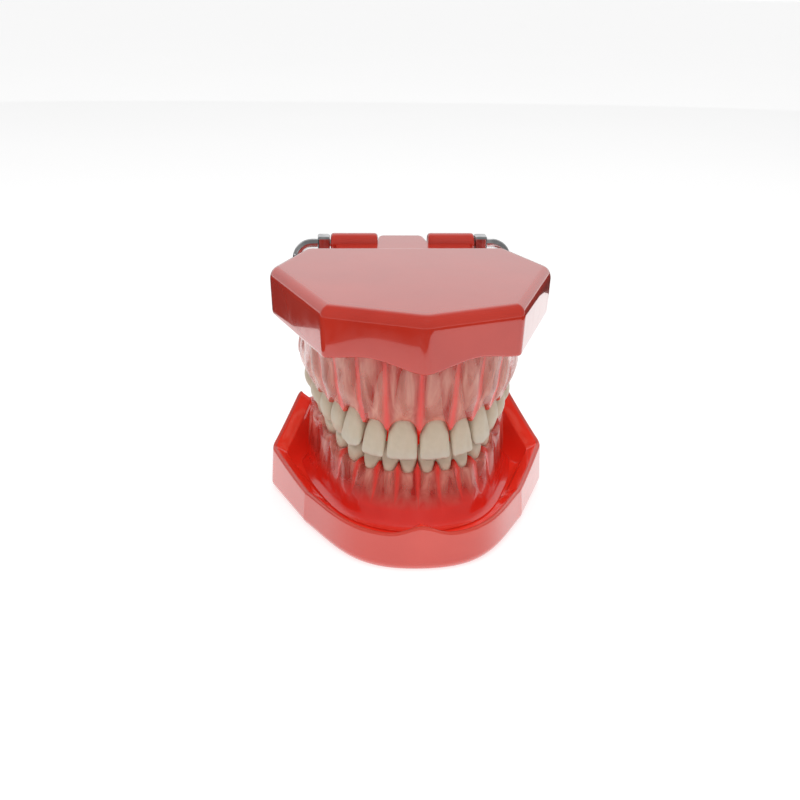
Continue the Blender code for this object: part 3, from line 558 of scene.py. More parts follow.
def barrel_profile(radius, rounding, length, bore, bore_depth):
    """Half section of a knuckle about its axis, with a blind bore from its far end."""
    turn = quarter_turn(EDGE_STEPS)
    return [
        (AXIS_RADIUS, 0.0),
        *[(radius - rounding * a, rounding * b) for a, b in turn],
        *[(radius - rounding * b, length - rounding * a) for a, b in turn],
        (bore + MOUTH_BEVEL, length),
        (bore, length - MOUTH_BEVEL),
        (bore, length - bore_depth),
        (AXIS_RADIUS, length - bore_depth),
    ]


def upper_base(material):
    shape = bmesh.new()
    add_upper_shell(shape)
    half = [
        (FLANGE_HALF_WIDTH, UPPER_REAR[1] - FLANGE_ROOT, 0.6),
        (FLANGE_HALF_WIDTH, FLANGE_REAR_Y, 1.8),
        (TONGUE_ROOT_HALF_WIDTH, FLANGE_REAR_Y, 0.0),
        (TONGUE_TIP_HALF_WIDTH, TONGUE_REAR_Y, 2.0),
    ]
    add_plate(shape, mirrored(half), *FLANGE_Z, FLANGE_ROUNDING)
    start, end = BARREL_X
    sizes = (BARREL_RADIUS, BARREL_ROUNDING, end - start, BORE_RADIUS, end - BORE_END_X)
    for side, _ in SIDES:
        place = Matrix.Translation((side * start, HINGE_Y, HINGE_Z))
        place = place @ Matrix.Rotation(side * math.pi / 2, 4, "Y")
        add_turned(shape, barrel_profile(*sizes), place)
    base = make_object("upper_base_cast", shape, material)
    weighted_normals(base)
    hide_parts("upper_base")
    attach(base, "upper_jaw")


def add_lower_tray(shape):
    outline = lower_outline()

    def band(y):
        return LOWER_BAND * smoothstep((y - LOWER_BAND_END_Y) / LOWER_BAND_FADE)

    def below_rim(drop, slope=0.0):
        return lambda x, y: lower_rim_z(x, y) - drop - slope * band(y)

    heel_inset, heel_z = LOWER_HEEL[-1]
    rim_drop = LOWER_RIM[0][1]

    def up_wall(share):
        return lambda x, y: mix(heel_z, lower_rim_z(x, y) - rim_drop, share)

    def above_floor(share):
        return lambda x, y: mix(LOWER_FLOOR_Z, lower_rim_z(x, y) - BAND_SLOPE * band(y), share)

    rings = [outline.ring(inset, z) for inset, z in smooth_run(LOWER_HEEL, ROWS_PER_SPAN)]
    for k in range(1, WALL_STEPS):
        share = k / WALL_STEPS
        rings.append(outline.ring(mix(heel_inset, 0.0, share), up_wall(share)))
    for inset, drop in LOWER_RIM:
        rings.append(outline.ring(inset, below_rim(drop)))
    # From here inwards the tray takes its second material, a brighter red copy of the coral:
    # painted light for light shining through the plastic.
    second_material_from = len(rings) - LIT_RIM_ROWS

    def inside(x, y):
        """How much further in the inner wall stands, at the sides and at the midline's peak."""
        size, spread = LOWER_PEAK
        return band(y) + (size * math.exp(-((x / spread) ** 2)) if y < 0 else 0.0)

    for inset, drop, slope in BAND_EDGES:
        rings.append(outline.ring(inset, below_rim(drop, slope), inside))
    for inset, share in LOWER_INNER_WALL:
        rings.append(outline.ring(inset, above_floor(share), inside))
    for inset, lift in LOWER_FLOOR_EDGE:
        rings.append(outline.ring(inset, LOWER_FLOOR_Z + lift, inside))
    add_loft(shape, rings, second_material_from=second_material_from)


def add_lug(shape, side):
    """An arm behind the tray and an upright boss on it, open at the top for the rod's foot."""
    x = side * ROD_BOTTOM_X
    low_x, high_x = sorted((x - side * LUG_ARM_INNER, x + side * LUG_ARM_OUTER))
    root_y = LOWER_REAR[1] - LUG_ARM_ROOT
    plan = ((low_x, root_y), (high_x, root_y), (high_x, HINGE_Y), (low_x, HINGE_Y))
    corners = [(*corner, LUG_ARM_FILLET) for corner in plan]
    add_plate(shape, corners, *LUG_ARM_Z, LUG_ROUNDING)
    place = Matrix.Translation((x, HINGE_Y, 0.0))
    depth = LUG_TOP_Z - ROD_FOOT_Z + END_GAP
    profile = barrel_profile(LUG_RADIUS, LUG_ROUNDING, LUG_TOP_Z, BORE_RADIUS, depth)
    add_turned(shape, profile, place)


def lower_base(material, tray_lit_finish):
    shape = bmesh.new()
    add_lower_tray(shape)
    for side, _ in SIDES:
        add_lug(shape, side)
    base = make_object("lower_base_cast", shape, material)
    # The second material is the tray's brighter red: painted light for light shining through the
    # plastic.
    base.data.materials.append(tray_lit_finish)
    weighted_normals(base)
    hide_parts("lower_base")
    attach(base, "lower_jaw")


# ---- Arches ----


class Arch:
    """One jaw's arch curve, read by the distance along it from the midline, negative at -X."""

    def __init__(self, size, teeth, upper):
        half_width, front_y = size
        depth = ARCH_CENTRE_Y - front_y
        self.teeth = teeth
        self.upper = upper
        self.points = []
        for k in range(ARCH_SAMPLES + 1):
            angle = math.pi / 2 * k / ARCH_SAMPLES
            x = half_width * math.sin(angle) ** (2 / ARCH_POWER)
            y = ARCH_CENTRE_Y - depth * math.cos(angle) ** (2 / ARCH_POWER)
            self.points.append((x, y))
        self.lengths = [0.0]
        for before, after in zip(self.points, self.points[1:]):
            self.lengths.append(self.lengths[-1] + math.dist(before, after))
        self.starts = [sum(tooth.width for tooth in teeth[:i]) for i in range(len(teeth))]
        self.end = sum(tooth.width for tooth in teeth)

    def at(self, s):
        i = min(max(bisect_left(self.lengths, abs(s)), 1), len(self.lengths) - 1)
        t = (abs(s) - self.lengths[i - 1]) / (self.lengths[i] - self.lengths[i - 1])
        before, after = self.points[i - 1], self.points[i]
        x, y = mix(before[0], after[0], t), mix(before[1], after[1], t)
        return math.copysign(x, s), y

    def outward(self, s):
        """Unit vector out of the mouth, square to the curve."""
        a, b = self.at(s - 0.8), self.at(s + 0.8)
        length = math.dist(a, b)
        return (b[1] - a[1]) / length, -(b[0] - a[0]) / length

    def offset(self, s, outwards):
        (x, y), (nx, ny) = self.at(s), self.outward(s)
        return x + nx * outwards, y + ny * outwards

    def turn(self, tooth, s):
        """How far the curve turns across one tooth, in radians."""
        half = tooth.width / 2
        a, b = self.outward(abs(s) - half), self.outward(abs(s) + half)
        return math.atan2(b[1], b[0]) - math.atan2(a[1], a[0])

    def tip_z(self, s, depth):
        """Height of the teeth's edges at s."""
        y = self.offset(s, -depth / 2)[1]
        bite = UPPER_EDGE_Z + BITE_SLOPE * (y - UPPER_ARCH[1])
        if self.upper:
            return bite
        start, reach = LOWER_CHANGE
        share = smoothstep((y - LOWER_ARCH[1] - start) / reach)
        return bite + mix(LOWER_FRONT_OVERLAP, LOWER_BACK_OVERLAP, share)

    def among_teeth(self, s, field):
        """A tooth's measure, blended between the middles of neighbouring teeth."""
        s = abs(s)
        middles = [start + tooth.width / 2 for start, tooth in zip(self.starts, self.teeth)]
        values = [getattr(tooth, field) for tooth in self.teeth]
        if s <= middles[0]:
            return values[0]
        for low, high, a, b in zip(middles, middles[1:], values, values[1:]):
            if s <= high:
                return mix(a, b, smoothstep((s - low) / (high - low)))
        return values[-1]

    def across_tooth(self, s):
        """0 at the middle of a tooth and 1 at its edges."""
        s = min(abs(s), self.end - 0.001)
        i = max(k for k, start in enumerate(self.starts) if start <= s)
        return abs(2 * (s - self.starts[i]) / self.teeth[i].width - 1)


# ---- Teeth ----


def tooth_ring(width, depth, across, along, squareness, lift=None, groove=0.0):
    """A ring of a tooth, narrower on its inner side, with upright grooves in its outer face."""
    middle, spread = GROOVE_PLACE
    ring = []
    for k in range(TOOTH_SIDES):
        angle = math.tau * k / TOOTH_SIDES
        c, s = math.cos(angle), math.sin(angle)
        swell = squared_circle(c, s, squareness)
        x = width / 2 * c * swell
        y = depth / 2 * s * swell
        if s > 0:
            y -= groove * s * math.exp(-(((abs(c) - middle) / spread) ** 2))
        x *= 1 - INNER_NARROWING * max(-s, 0.0)
        ring.append((x, across + y, along + (lift(c, s) if lift else 0.0)))
    return ring


def incisor_rings(tooth, width, lean):
    """Crown rings of a front tooth: a thin edge, or one raised to a point on a canine."""
    point = CANINE_POINT if tooth.cusps else 0.0
    rings = []
    for share, wide, deep, middle in smooth_run(INCISOR_ROWS, ROWS_PER_SPAN):
        tipped = smoothstep((share - 0.55) / 0.45)

        def peak(c, _, tipped=tipped):
            return -tipped * (point * abs(c) ** 1.4 + INCISOR_CORNER * abs(c) ** 5)

        size = (width * wide, tooth.depth * deep)
        place = (middle * tooth.depth - lean * share**1.5, tooth.crown * share)
        groove = GROOVE * smoothstep((share - 0.2) / 0.5)
        rings.append(tooth_ring(*size, *place, mix(*INCISOR_SQUARENESS, share), peak, groove))
    return rings


def chewing_rings(tooth, width, inner_drop):
    """Crown rings of a back tooth: raised cusps, lower on the inside, round a hollow."""
    rings = []

    def cusps(share):
        def lift(c, s):
            corners = abs(2 * c * s) ** 1.3 if tooth.cusps == 4 else abs(s) ** 2
            return -share * (CUSP_HEIGHT * (1 - corners) + (inner_drop if s < 0 else 0.0))

        return lift

    groove = GROOVE * (1.3 if tooth.cusps == 4 else 0.7)
    for share, wide, deep, middle in smooth_run(CHEWING_ROWS, ROWS_PER_SPAN):
        amount = smoothstep((share - 0.5) / 0.5)
        size = (width * wide, tooth.depth * deep)
        place = (middle * tooth.depth, tooth.crown * share)
        shape = (mix(*CHEWING_SQUARENESS, share), cusps(amount * 0.8), groove * amount)
        rings.append(tooth_ring(*size, *place, *shape))
    for wide, deep, share, drop in smooth_run(TABLE_ROWS, ROWS_PER_SPAN):
        size = (width * wide, tooth.depth * deep)
        place = (-tooth.depth / 2, tooth.crown - drop)
        rings.append(tooth_ring(*size, *place, TABLE_SQUARENESS, cusps(share)))
    return rings


def tooth_rings(arch, tooth, s):
    """One tooth in its own space: x along the arch, y outwards, z from the neck to the edge."""
    width = tooth.width - 2 * CONTACT_GAP
    rings = []
    neck = (INCISOR_ROWS if tooth.cusps < 2 else CHEWING_ROWS)[0]
    for share, wide, deep, middle in smooth_run((*ROOT_ROWS, neck), ROWS_PER_SPAN)[:-1]:
        size = (width * wide, tooth.depth * deep)
        place = (middle * tooth.depth, tooth.root * share)
        rings.append(tooth_ring(*size, *place, ROOT_SQUARENESS))
    if tooth.cusps < 2:
        rings += incisor_rings(tooth, width, 0.0 if arch.upper else LOWER_LEAN)
    else:
        rings += chewing_rings(tooth, width, UPPER_INNER_DROP if arch.upper else LOWER_INNER_DROP)
    taper = arch.turn(tooth, s) / tooth.width
    return [[(x * (1 + taper * y), y, z) for x, y, z in ring] for ring in rings]


def arch_place(arch, tooth, s):
    """Where a tooth stands: upright to the bite plane, on the arch at s."""
    x, y = arch.at(s)
    nx, ny = arch.outward(s)
    tip = arch.tip_z(s, tooth.depth)
    neck = tip + tooth.crown if arch.upper else tip - tooth.crown
    along = Vector((-ny, nx, BITE_SLOPE * nx)).normalized()
    outwards = Vector((nx, ny, 0.0))
    if not arch.upper:
        along = -along
    axes = Matrix((along, outwards, along.cross(outwards))).transposed().to_4x4()
    return Matrix.Translation((x * MM, y * MM, neck * MM)) @ axes


def teeth(arch, material):
    jaw = "upper" if arch.upper else "lower"
    for side, side_name in SIDES:
        for start, tooth in zip(arch.starts, arch.teeth):
            s = side * (start + tooth.width / 2)
            shape = bmesh.new()
            add_loft(shape, tooth_rings(arch, tooth, s))
            node = f"{jaw}_{side_name}_{tooth.name}"
            obj = make_object(f"{node}_resin", shape, material)
            obj.matrix_world = arch_place(arch, tooth, s)
            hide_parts(node)
            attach(obj, f"{jaw}_jaw")


# ---- Gums ----


def stations(arch):
    """Distances along the whole arch at which the gum's sections stand."""
    reach = arch.end + GUM_PAST
    count = round(reach / STATION_STEP)
    return [reach * k / count for k in range(-count, count + 1)]


def station_facts(arch, s):
    """The measures that a section of gum needs at s."""
    depth = arch.among_teeth(s, "depth")
    crown = arch.among_teeth(s, "crown")
    along = min(abs(s) / arch.end, 1.0)
    fade = smoothstep((abs(s) - arch.end) / GUM_PAST)
    across = arch.across_tooth(s) if abs(s) < arch.end else 0.3
    between = across**3
    reach = between * mix(*PAPILLA, smoothstep(along * 2)) * crown
    swell = ROOT_RIDGE * (0.45 - across**1.5) * (1 - fade)
    return depth, crown, along, fade, between, reach, swell


def redness(arch, s, place, margin):
    """How red and solid the gum is at one place of the section at s, from 0 to 1.

    Place 0 is the hidden edge of the ridge and margin is its edge at the teeth. The red
    wedges between the front teeth widen towards the margin. All beyond it is red.
    """
    if place > margin + RED_BEHIND:
        return 1.0
    share = min(place / margin, 1.0)
    reach = 1 - smoothstep((abs(s) / arch.end - RED_REACH[0]) / (RED_REACH[1] - RED_REACH[0]))
    start = mix(*RED_FROM, share)
    across = arch.across_tooth(s) if abs(s) < arch.end else 0.0
    return reach * smoothstep((across - start) / (1.05 - start))


def add_section(shape, arch, s, points, margin):
    """Adds a section's vertices, each with its redness."""
    layers = shape.verts.layers.float
    red = layers.get("redness") or layers.new("redness")
    verts = [shape.verts.new(point) for point in points]
    for place, vert in enumerate(verts):
        vert[red] = redness(arch, s, place, margin)
    return verts


def upper_section(arch, s):
    """The ridge at s as points (x, y, z), from the hidden top to the edge of the palate."""
    depth, crown, along, fade, between, reach, swell = station_facts(arch, s)
    neck = arch.tip_z(s, depth) + crown
    edge = neck - MARGIN_LIFT - reach + fade * 3.0
    bulge = mix(*UPPER_BULGE, smoothstep((along - 0.55) / 0.45)) - fade * 2.0
    profile = (
        (bulge, UPPER_RIDGE_TOP_Z),
        (bulge * 0.92 + swell * 0.3, mix(neck, UPPER_RIDGE_TOP_Z, 0.75)),
        (bulge * 0.75 + swell, mix(neck, UPPER_RIDGE_TOP_Z, 0.5)),
        (mix(bulge, 1.3, 0.6) + swell, mix(neck, UPPER_RIDGE_TOP_Z, 0.25)),
        (1.1 - fade * 2.0 + swell * 0.7, neck + 1.4),
        (0.75 - fade * 1.6 - between * 0.8, edge + 0.7),
        (0.35 - fade * 1.5 - between * PAPILLA_INSET, edge + 0.12),
        (-0.5 - between * 0.5, edge - 0.05),
        (-depth * 0.5, edge - 0.2),
        (-depth + 0.6 + fade, edge - 0.05),
        (-depth - 0.4, edge + 0.5),
        (-depth - 1.4, neck + 1.5),
        (-depth - 2.6, mix(neck, UPPER_PALATE_Z, 0.32)),
        (-depth - 3.8, mix(neck, UPPER_PALATE_Z, 0.66)),
        (-depth - 5.4, UPPER_PALATE_Z - 0.6),
    )
    points = [(bulge, UPPER_GUM_TOP_Z), *smooth_run(profile, 3)]
    return [(*arch.offset(s, out), z) for out, z in points]


def upper_gum(arch, material):
    """The ridge and the vaulted palate in one skin. Ribs of the vault meet on the midline."""
    shape = bmesh.new()
    columns = []
    for s in stations(arch):
        section = upper_section(arch, s)
        x, y, z = section[-1]
        x = math.copysign(x, s) if s else 0.0
        crest = z + PALATE_RISE * smoothstep((y - PALATE_FRONT_Y) / PALATE_RUN)
        rib = []
        for k in range(1, PALATE_STEPS + 1):
            t = k / PALATE_STEPS
            rib.append((x * (1 - t), y, mix(z, crest, math.sin(t * math.pi / 2))))
        top = (0.0, y, UPPER_GUM_TOP_Z)
        columns.append(add_section(shape, arch, s, (top, *section, *rib), UPPER_MARGIN))
    for a, b in zip(columns, columns[1:]):
        for i in range(len(a) - 1):
            shape.faces.new((a[i], a[i + 1], b[i + 1], b[i]))
    shape.faces.new((*columns[0], *reversed(columns[-1])))
    bmesh.ops.remove_doubles(shape, verts=shape.verts, dist=1e-4)
    gum = make_object("upper_gum_clear", shape, material)
    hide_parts("upper_gum")
    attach(gum, "upper_jaw")


def lower_section(arch, s):
    """The ridge at s as a closed ring of points (x, y, z)."""
    depth, crown, along, fade, between, reach, swell = station_facts(arch, s)
    neck = arch.tip_z(s, depth) - crown
    edge = neck + MARGIN_LIFT + reach - fade * 2.0
    foot = mix(*LOWER_FOOT, smoothstep(along / 0.62)) - fade
    profile = (
        (foot + FOOT_FLARE, LOWER_GUM_Z),
        (foot + FOOT_FLARE * 0.3, LOWER_GUM_Z + 0.5),
        (foot * 0.95, LOWER_GUM_Z + 1.8),
        (mix(foot, 1.2, 0.4) + swell * 0.6, mix(LOWER_GUM_Z, neck, 0.42)),
        (mix(foot, 1.2, 0.75) + swell, mix(LOWER_GUM_Z, neck, 0.64)),
        (1.05 - fade + swell * 0.8, neck - 1.3),
        (0.7 - fade - between * 0.8, edge - 0.6),
        (0.3 - fade - between * PAPILLA_INSET, edge - 0.1),
        (-0.5 - between * 0.5, edge + 0.05),
        (-depth * 0.5, edge + 0.2),
        (-depth + 0.6 + fade, edge + 0.05),
        (-depth - 0.3, edge - 0.5),
        (-depth - 1.2, neck - 1.4),
        (-depth - 2.0, mix(LOWER_GUM_Z, neck, 0.7)),
        (-depth - 2.8, mix(LOWER_GUM_Z, neck, 0.4)),
        (-depth - 3.6, LOWER_GUM_Z),
    )
    return [(*arch.offset(s, out), z) for out, z in smooth_run(profile, 3)]


def lower_gum(arch, material):
    shape = bmesh.new()
    rings = [
        add_section(shape, arch, s, lower_section(arch, s), LOWER_MARGIN) for s in stations(arch)
    ]
    for a, b in zip(rings, rings[1:]):
        for i in range(len(a)):
            shape.faces.new((a[i - 1], a[i], b[i], b[i - 1]))
    shape.faces.new(rings[0])
    shape.faces.new(rings[-1])
    gum = make_object("lower_gum_clear", shape, material)
    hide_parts("lower_gum")
    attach(gum, "lower_jaw")


# ---- Hinge ----


def rod_points(side):
    """The rod from inside its barrel, out and down beside the jaws, to its foot in the lug."""
    points = [(BORE_END_X + END_GAP, HINGE_Z)]
    for inward, down in quarter_turn(ROD_BEND_STEPS):
        points.append((ROD_TOP_X - ROD_BEND * inward, HINGE_Z - ROD_BEND * down))
    for k in range(1, ROD_LEG_STEPS + 1):
        share = 1 - k / ROD_LEG_STEPS
        x = mix(ROD_BOTTOM_X, ROD_TOP_X, smoothstep(share))
        points.append((x, mix(ROD_STRAIGHT_Z, HINGE_Z - ROD_BEND, share)))
    points.append((ROD_BOTTOM_X, ROD_FOOT_Z))
    return [(side * x, HINGE_Y, z) for x, z in points]


def hinge_rod(side, side_name, material):
    name = f"hinge_rod_{side_name}_wire"
    curve = bpy.data.curves.new(name, "CURVE")
    curve.dimensions = "3D"
    curve.bevel_depth = ROD_RADIUS * MM
    curve.bevel_resolution = 8
    curve.use_fill_caps = True
    points = rod_points(side)
    spline = curve.splines.new("POLY")
    spline.points.add(len(points) - 1)
    for handle, point in zip(spline.points, points):
        handle.co = (*[c * MM for c in point], 1.0)
    curve.materials.append(material)
    rod = add_object(name, curve)
    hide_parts(f"hinge_rod_{side_name}")
    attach(rod, "lower_jaw")


def collar(side_name, material):
    """A square block with rounded edges, bored through for the rod."""
    low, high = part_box(f"hinge_collar_{side_name}")
    middle = (low + high) / 2 / MM
    half = COLLAR_SIDE / 2
    plan = ((half, -half), (half, half), (-half, half), (-half, -half))
    outline = Outline([(*corner, COLLAR_FILLET) for corner in plan])

    def bore(height, radius):
        return [(*(point.normalized() * radius), height) for point in outline.outer]

    end = COLLAR_WIDTH / 2
    rings = [bore(-end + COLLAR_MOUTH, BORE_RADIUS), bore(-end, BORE_RADIUS + COLLAR_MOUTH)]
    rings += [outline.ring(inset, -end + inwards) for inset, inwards in COLLAR_EDGE]
    rings += [outline.ring(inset, end - inwards) for inset, inwards in reversed(COLLAR_EDGE)]
    rings += [bore(end, BORE_RADIUS + COLLAR_MOUTH), bore(end - COLLAR_MOUTH, BORE_RADIUS)]
    turned = Matrix.Translation(middle) @ Matrix.Rotation(math.pi / 2, 4, "Y")
    shape = bmesh.new()
    add_loft(shape, [[turned @ Vector(point) for point in ring] for ring in rings], closed=True)
    obj = make_object(f"hinge_collar_{side_name}_block", shape, material)
    weighted_normals(obj)
    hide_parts(f"hinge_collar_{side_name}")
    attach(obj, "lower_jaw")


# ---- Finishes ----


def add_node(tree, kind, output, sockets, **settings):
    """A new node's output. Its sockets are linked to other outputs or set to values."""
    node = tree.nodes.new(kind)
    for name, value in settings.items():
        setattr(node, name, value)
    for socket, value in sockets.items():
        if isinstance(value, bpy.types.NodeSocket):
            tree.links.new(value, node.inputs[socket])
        else:
            node.inputs[socket].default_value = value
    return node.outputs[output]


def ranged(tree, value, ranges, **settings):
    """A value moved from one range to another: ranges holds both, as low, high, low, high."""
    sockets = dict(zip(("From Min", "From Max", "To Min", "To Max"), ranges))
    return add_node(tree, "ShaderNodeMapRange", "Result", {"Value": value, **sockets}, **settings)


class Finish:
    """A material round one Principled shader, with patterns from object coordinates."""

    def __init__(self, name, **constants):
        self.material = bpy.data.materials.new(name)
        self.material.use_nodes = True
        self.tree = self.material.node_tree
        self.shader = self.tree.nodes["Principled BSDF"]
        for socket, value in constants.items():
            self.shader.inputs[socket.replace("_", " ")].default_value = value
        self.coordinates = self.node("ShaderNodeTexCoord", "Object", {})

    def node(self, kind, output, sockets, **settings):
        return add_node(self.tree, kind, output, sockets, **settings)

    def feed(self, socket, output):
        """Links an output to one of the shader's own inputs."""
        self.tree.links.new(output, self.shader.inputs[socket])

    def noise(self, scale, detail=3.0, stretch=(1.0, 1.0, 1.0), distortion=0.0):
        place = {"Vector": self.coordinates, "Scale": stretch}
        vector = self.node("ShaderNodeMapping", "Vector", place)
        sockets = {"Vector": vector, "Scale": scale, "Detail": detail, "Distortion": distortion}
        return self.node("ShaderNodeTexNoise", "Fac", sockets)

    def height(self, low, high):
        """0 at low and 1 at high on the object's own Z, in millimetres."""
        z = self.node("ShaderNodeSeparateXYZ", "Z", {"Vector": self.coordinates})
        return self.ranged(z, low * MM, high * MM, 0.0, 1.0)

    def attribute(self, name):
        return self.node("ShaderNodeAttribute", "Fac", {}, attribute_name=name)

    def largest(self, a, b):
        return self.node("ShaderNodeMath", "Value", {0: a, 1: b}, operation="MAXIMUM")

    def ranged(self, value, *ranges):
        return ranged(self.tree, value, ranges)

    def ramp(self, value, stops):
        """Colours (place, (r, g, b)) along a value."""
        ramp = self.tree.nodes.new("ShaderNodeValToRGB")
        elements = ramp.color_ramp.elements
        while len(elements) < len(stops):
            elements.new(0.5)
        for element, (place, colour) in zip(elements, stops):
            element.position = place
            element.color = (*colour, 1.0)
        self.tree.links.new(value, ramp.inputs["Fac"])
        return ramp.outputs["Color"]

    def mixed(self, share, a, b, blend="MIX"):
        """Two colours mixed by a share, each a socket or a number or colour."""
        sockets = {0: share, 6: a, 7: b}
        return self.node("ShaderNodeMix", 2, sockets, data_type="RGBA", blend_type=blend)

    def bump(self, height, distance, strength, before=None):
        sockets = {"Distance": distance * MM, "Strength": strength, "Height": height}
        if before:
            sockets["Normal"] = before
        return self.node("ShaderNodeBump", "Normal", sockets)


def coral_plastic(name, dark, light, glow=0.0):
    """Glossy cast acrylic: cloudy red, faintly uneven from moulding, with fine wear.

    The glow is painted light: emission that stands for light coming through the plastic from
    outside.
    """
    finish = Finish(name, IOR=1.5, Coat_Weight=1.0, Coat_Roughness=0.03, Emission_Strength=glow)
    finish.shader.inputs["Emission Color"].default_value = (*light, 1.0)
    cloud = finish.noise(45.0, 3.0, distortion=0.4)
    colour = finish.ramp(cloud, ((0.3, dark), (0.7, light)))
    finish.feed("Base Color", colour)
    wear = finish.noise(320.0, 5.0, stretch=(1.0, 1.0, 0.4))
    finish.feed("Roughness", finish.ranged(wear, 0.35, 0.75, 0.07, 0.2))
    flow = finish.bump(finish.noise(60.0, 2.0), 0.12, 0.35)
    grain = finish.bump(finish.noise(1400.0, 2.0), 0.01, 0.25, flow)
    finish.feed("Normal", grain)
    return finish.material


def clear_gum(name, colours, solid_z):
    """Clear pink acrylic with pale streaks up the ridge, and solid red near the base."""
    red, pale = colours
    finish = Finish(name, IOR=1.47, Coat_Weight=1.0, Coat_Roughness=0.04, Roughness=0.25)
    streak = finish.noise(300.0, 5.0, stretch=(1.0, 1.0, 0.18), distortion=0.6)
    streaks = finish.ramp(streak, ((0.36, red), (0.68, pale)))
    solid = finish.largest(finish.height(*solid_z), finish.attribute("redness"))
    colour = finish.mixed(solid, streaks, (*SOLID_RED, 1.0))
    finish.feed("Base Color", colour)
    cloudy = finish.ranged(streak, 0.3, 0.7, *GUM_ALPHA)
    finish.feed("Alpha", finish.largest(cloudy, solid))
    ridges = finish.bump(finish.noise(330.0, 2.0, stretch=(1.0, 1.0, 0.25)), 0.25, 0.5)
    wrinkles = finish.bump(finish.noise(900.0, 3.0, distortion=1.2), 0.05, 0.5, ridges)
    finish.feed("Normal", wrinkles)
    return finish.material


def tooth_resin():
    """Ivory resin, browner towards the neck and root and greyer at the edge."""
    finish = Finish(
        "ivory_tooth_resin",
        IOR=1.5,
        Subsurface_Weight=0.12,
        Subsurface_Scale=0.0012,
        Coat_Weight=0.1,
        Coat_Roughness=0.3,
    )
    finish.shader.inputs["Subsurface Radius"].default_value = (1.0, 0.6, 0.4)
    stops = (
        (0.0, (0.74, 0.60, 0.50)),
        (0.5, (0.66, 0.50, 0.38)),
        (0.62, (0.61, 0.50, 0.37)),
        (0.85, (0.64, 0.56, 0.43)),
        (1.0, (0.64, 0.60, 0.50)),
    )
    tone = finish.ramp(finish.height(-12.0, 12.0), stops)
    mottle = finish.ramp(finish.noise(500.0, 4.0), ((0.3, (0.88, 0.86, 0.82)), (0.7, (1, 1, 1))))
    colour = finish.mixed(0.6, tone, mottle, "MULTIPLY")
    finish.feed("Base Color", colour)
    polish = finish.noise(700.0, 3.0)
    finish.feed("Roughness", finish.ranged(polish, 0.3, 0.7, 0.34, 0.5))
    lines = finish.bump(finish.noise(350.0, 3.0, stretch=(0.5, 0.5, 2.2)), 0.06, 0.5)
    streaks = finish.bump(finish.noise(380.0, 3.0, stretch=(1.6, 1.6, 0.25)), 0.08, 0.5, lines)
    finish.feed("Normal", streaks)
    return finish.material


def chrome():
    """Plated wire with fine drawing marks and a few dull spots."""
    finish = Finish("chromed_steel", Metallic=1.0)
    stain = finish.noise(240.0, 4.0)
    colour = finish.ramp(stain, ((0.35, (0.52, 0.52, 0.53)), (0.6, (0.80, 0.80, 0.81))))
    finish.feed("Base Color", colour)
    marks = finish.noise(1500.0, 3.0, stretch=(1.0, 1.0, 0.05))
    finish.feed("Roughness", finish.ranged(marks, 0.3, 0.7, 0.1, 0.26))
    finish.feed("Normal", finish.bump(marks, 0.02, 0.3))
    return finish.material


# ---- Studio ----


def flat_finish(name, colour, roughness, glow=0.0):
    finish = Finish(name, Roughness=roughness, Emission_Strength=glow)
    cloud = finish.noise(6.0, 2.0)
    darker = tuple(0.97 * c for c in colour)
    finish.feed("Base Color", finish.ramp(cloud, ((0.3, darker), (0.7, colour))))
    finish.shader.inputs["Emission Color"].default_value = (1.0, 1.0, 1.0, 1.0)
    finish.shader.inputs["Specular IOR Level"].default_value = 0.1
    return finish.material


def stage_mesh(name, points, faces, material):
    mesh = bpy.data.meshes.new(name)
    mesh.from_pydata([[c * MM for c in point] for point in points], [], faces)
    mesh.materials.append(material)
    obj = add_object(name, mesh)
    return obj


def floor():
    far = FLOOR_REACH
    corners = [(-far, -far, 0), (far, -far, 0), (far, far, 0), (-far, far, 0)]
    material = flat_finish("white_table", (FLOOR_TONE,) * 3, 0.6, FLOOR_GLOW)
    stage_mesh("floor", corners, [(0, 1, 2, 3)], material)


def flag():
    """A dark ring on the table that only reflections see, as a studio's black card."""
    inner, outer = FLAG_RADIUS
    middle_x, middle_y = FLAG_CENTRE
    points, faces = [], []
    for k in range(FLAG_STEPS):
        angle = math.tau * k / FLAG_STEPS
        c, s = math.cos(angle), math.sin(angle)
        swell = squared_circle(c, s, FLAG_SQUARENESS)
        for reach in (inner * swell, outer * swell):
            points.append((middle_x + reach * c, middle_y + reach * s, 0.5))
        a, b = 2 * k, 2 * ((k + 1) % FLAG_STEPS)
        faces.append((a, a + 1, b + 1, b))
    ring = stage_mesh("flag", points, faces, flat_finish("black_card", (0.03, 0.03, 0.03), 0.8))
    ring.visible_camera = False
    ring.visible_diffuse = False
    ring.visible_transmission = False
    ring.visible_shadow = False


def world():
    """Soft white surroundings, brighter behind the model than in front of it."""
    scene = bpy.context.scene
    scene.world = bpy.data.worlds.new("studio")
    scene.world.use_nodes = True
    tree = scene.world.node_tree
    tree.nodes.clear()
    direction = add_node(tree, "ShaderNodeTexCoord", "Generated", {})
    sockets = {0: direction, 1: WORLD_LEAN}
    lean = add_node(tree, "ShaderNodeVectorMath", "Value", sockets, operation="DOT_PRODUCT")
    ranges = (*WORLD_RANGE, *WORLD_STRENGTH)
    strength = ranged(tree, lean, ranges, interpolation_type="SMOOTHSTEP")
    seen_directly = add_node(tree, "ShaderNodeLightPath", "Is Camera Ray", {})
    seen = add_node(tree, "ShaderNodeMix", 0, {0: seen_directly, 2: strength, 3: 1.0})
    white = {"Color": (1.0, 1.0, 1.0, 1.0), "Strength": seen}
    surface = add_node(tree, "ShaderNodeBackground", "Background", white)
    output = tree.nodes.new("ShaderNodeOutputWorld")
    tree.links.new(surface, output.inputs["Surface"])


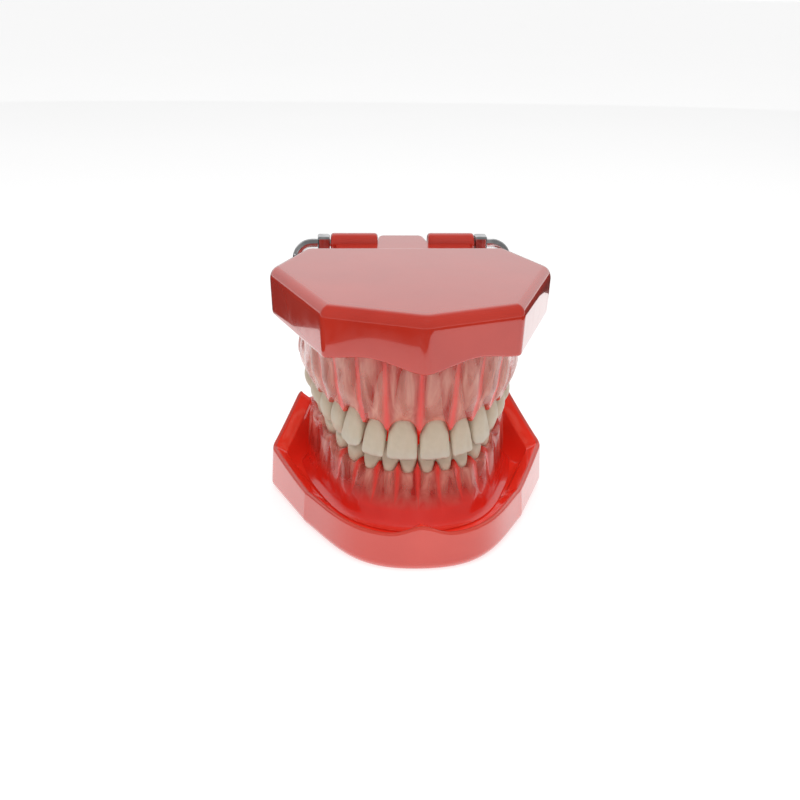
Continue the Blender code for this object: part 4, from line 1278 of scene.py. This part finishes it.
def softbox(name, location, size, power):
    light = bpy.data.lights.new(name, "AREA")
    light.shape = "RECTANGLE"
    light.size, light.size_y = size
    light.energy = power
    obj = add_object(name, light)
    obj.visible_glossy = False
    obj.location = location
    towards = Vector(LIGHT_AIM) - Vector(location)
    obj.rotation_euler = towards.to_track_quat("-Z", "Y").to_euler()


def camera():
    data = bpy.data.cameras.new("camera")
    data.lens = CAMERA_LENS
    data.sensor_width = CAMERA_SENSOR
    data.clip_start, data.clip_end = CAMERA_CLIP
    around = Matrix.Rotation(math.radians(CAMERA_AZIMUTH), 3, "Z")
    back = around @ Matrix.Rotation(math.radians(-CAMERA_ELEVATION), 3, "X") @ Vector((0, -1, 0))
    place = (Vector(CAMERA_TARGET) + back * CAMERA_DISTANCE) * MM
    turned = (-back).to_track_quat("-Z", "Y").to_matrix().to_4x4()
    roll = Matrix.Rotation(math.radians(CAMERA_ROLL), 4, "Z")
    obj = add_object("camera", data)
    obj.matrix_world = Matrix.Translation(place) @ turned @ roll
    bpy.context.scene.camera = obj


def main():
    # Painted light: a brighter, faintly glowing copy of the coral for the tray's inside.
    tray_lit_finish = coral_plastic("red_lining", *TRAY_LIT_RED, TRAY_PAINTED_GLOW)
    ivory, steel = tooth_resin(), chrome()
    upper_arch = Arch(UPPER_ARCH, UPPER_TEETH, True)
    lower_arch = Arch(LOWER_ARCH, LOWER_TEETH, False)
    upper_base(coral_plastic("coral_acrylic", *CORAL))
    # The lower base's lighter coral is painted light, a lit copy of the upper base's coral.
    lower_base(coral_plastic("pale_coral_acrylic", *LOWER_CORAL_LIT), tray_lit_finish)
    for arch in (upper_arch, lower_arch):
        teeth(arch, ivory)
    upper_gum(upper_arch, clear_gum("upper_gum_acrylic", UPPER_RESIN, UPPER_SOLID_Z))
    lower_gum(lower_arch, clear_gum("lower_gum_acrylic", LOWER_RESIN, LOWER_SOLID_Z))
    for side, side_name in SIDES:
        hinge_rod(side, side_name, steel)
        collar(side_name, steel)
    floor()
    flag()
    world()
    for box in SOFTBOXES:
        softbox(*box)
    camera()
    bpy.context.scene.view_settings.view_transform = "Standard"


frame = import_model()
TOP_Z = next(m for m in frame["record"]["mounts"] if m["name"] == "top_face")["pos_m"][2] / MM
HINGE_Y, HINGE_Z = (c / MM for c in frame["joints"][0]["pos_m"][1:])
main()
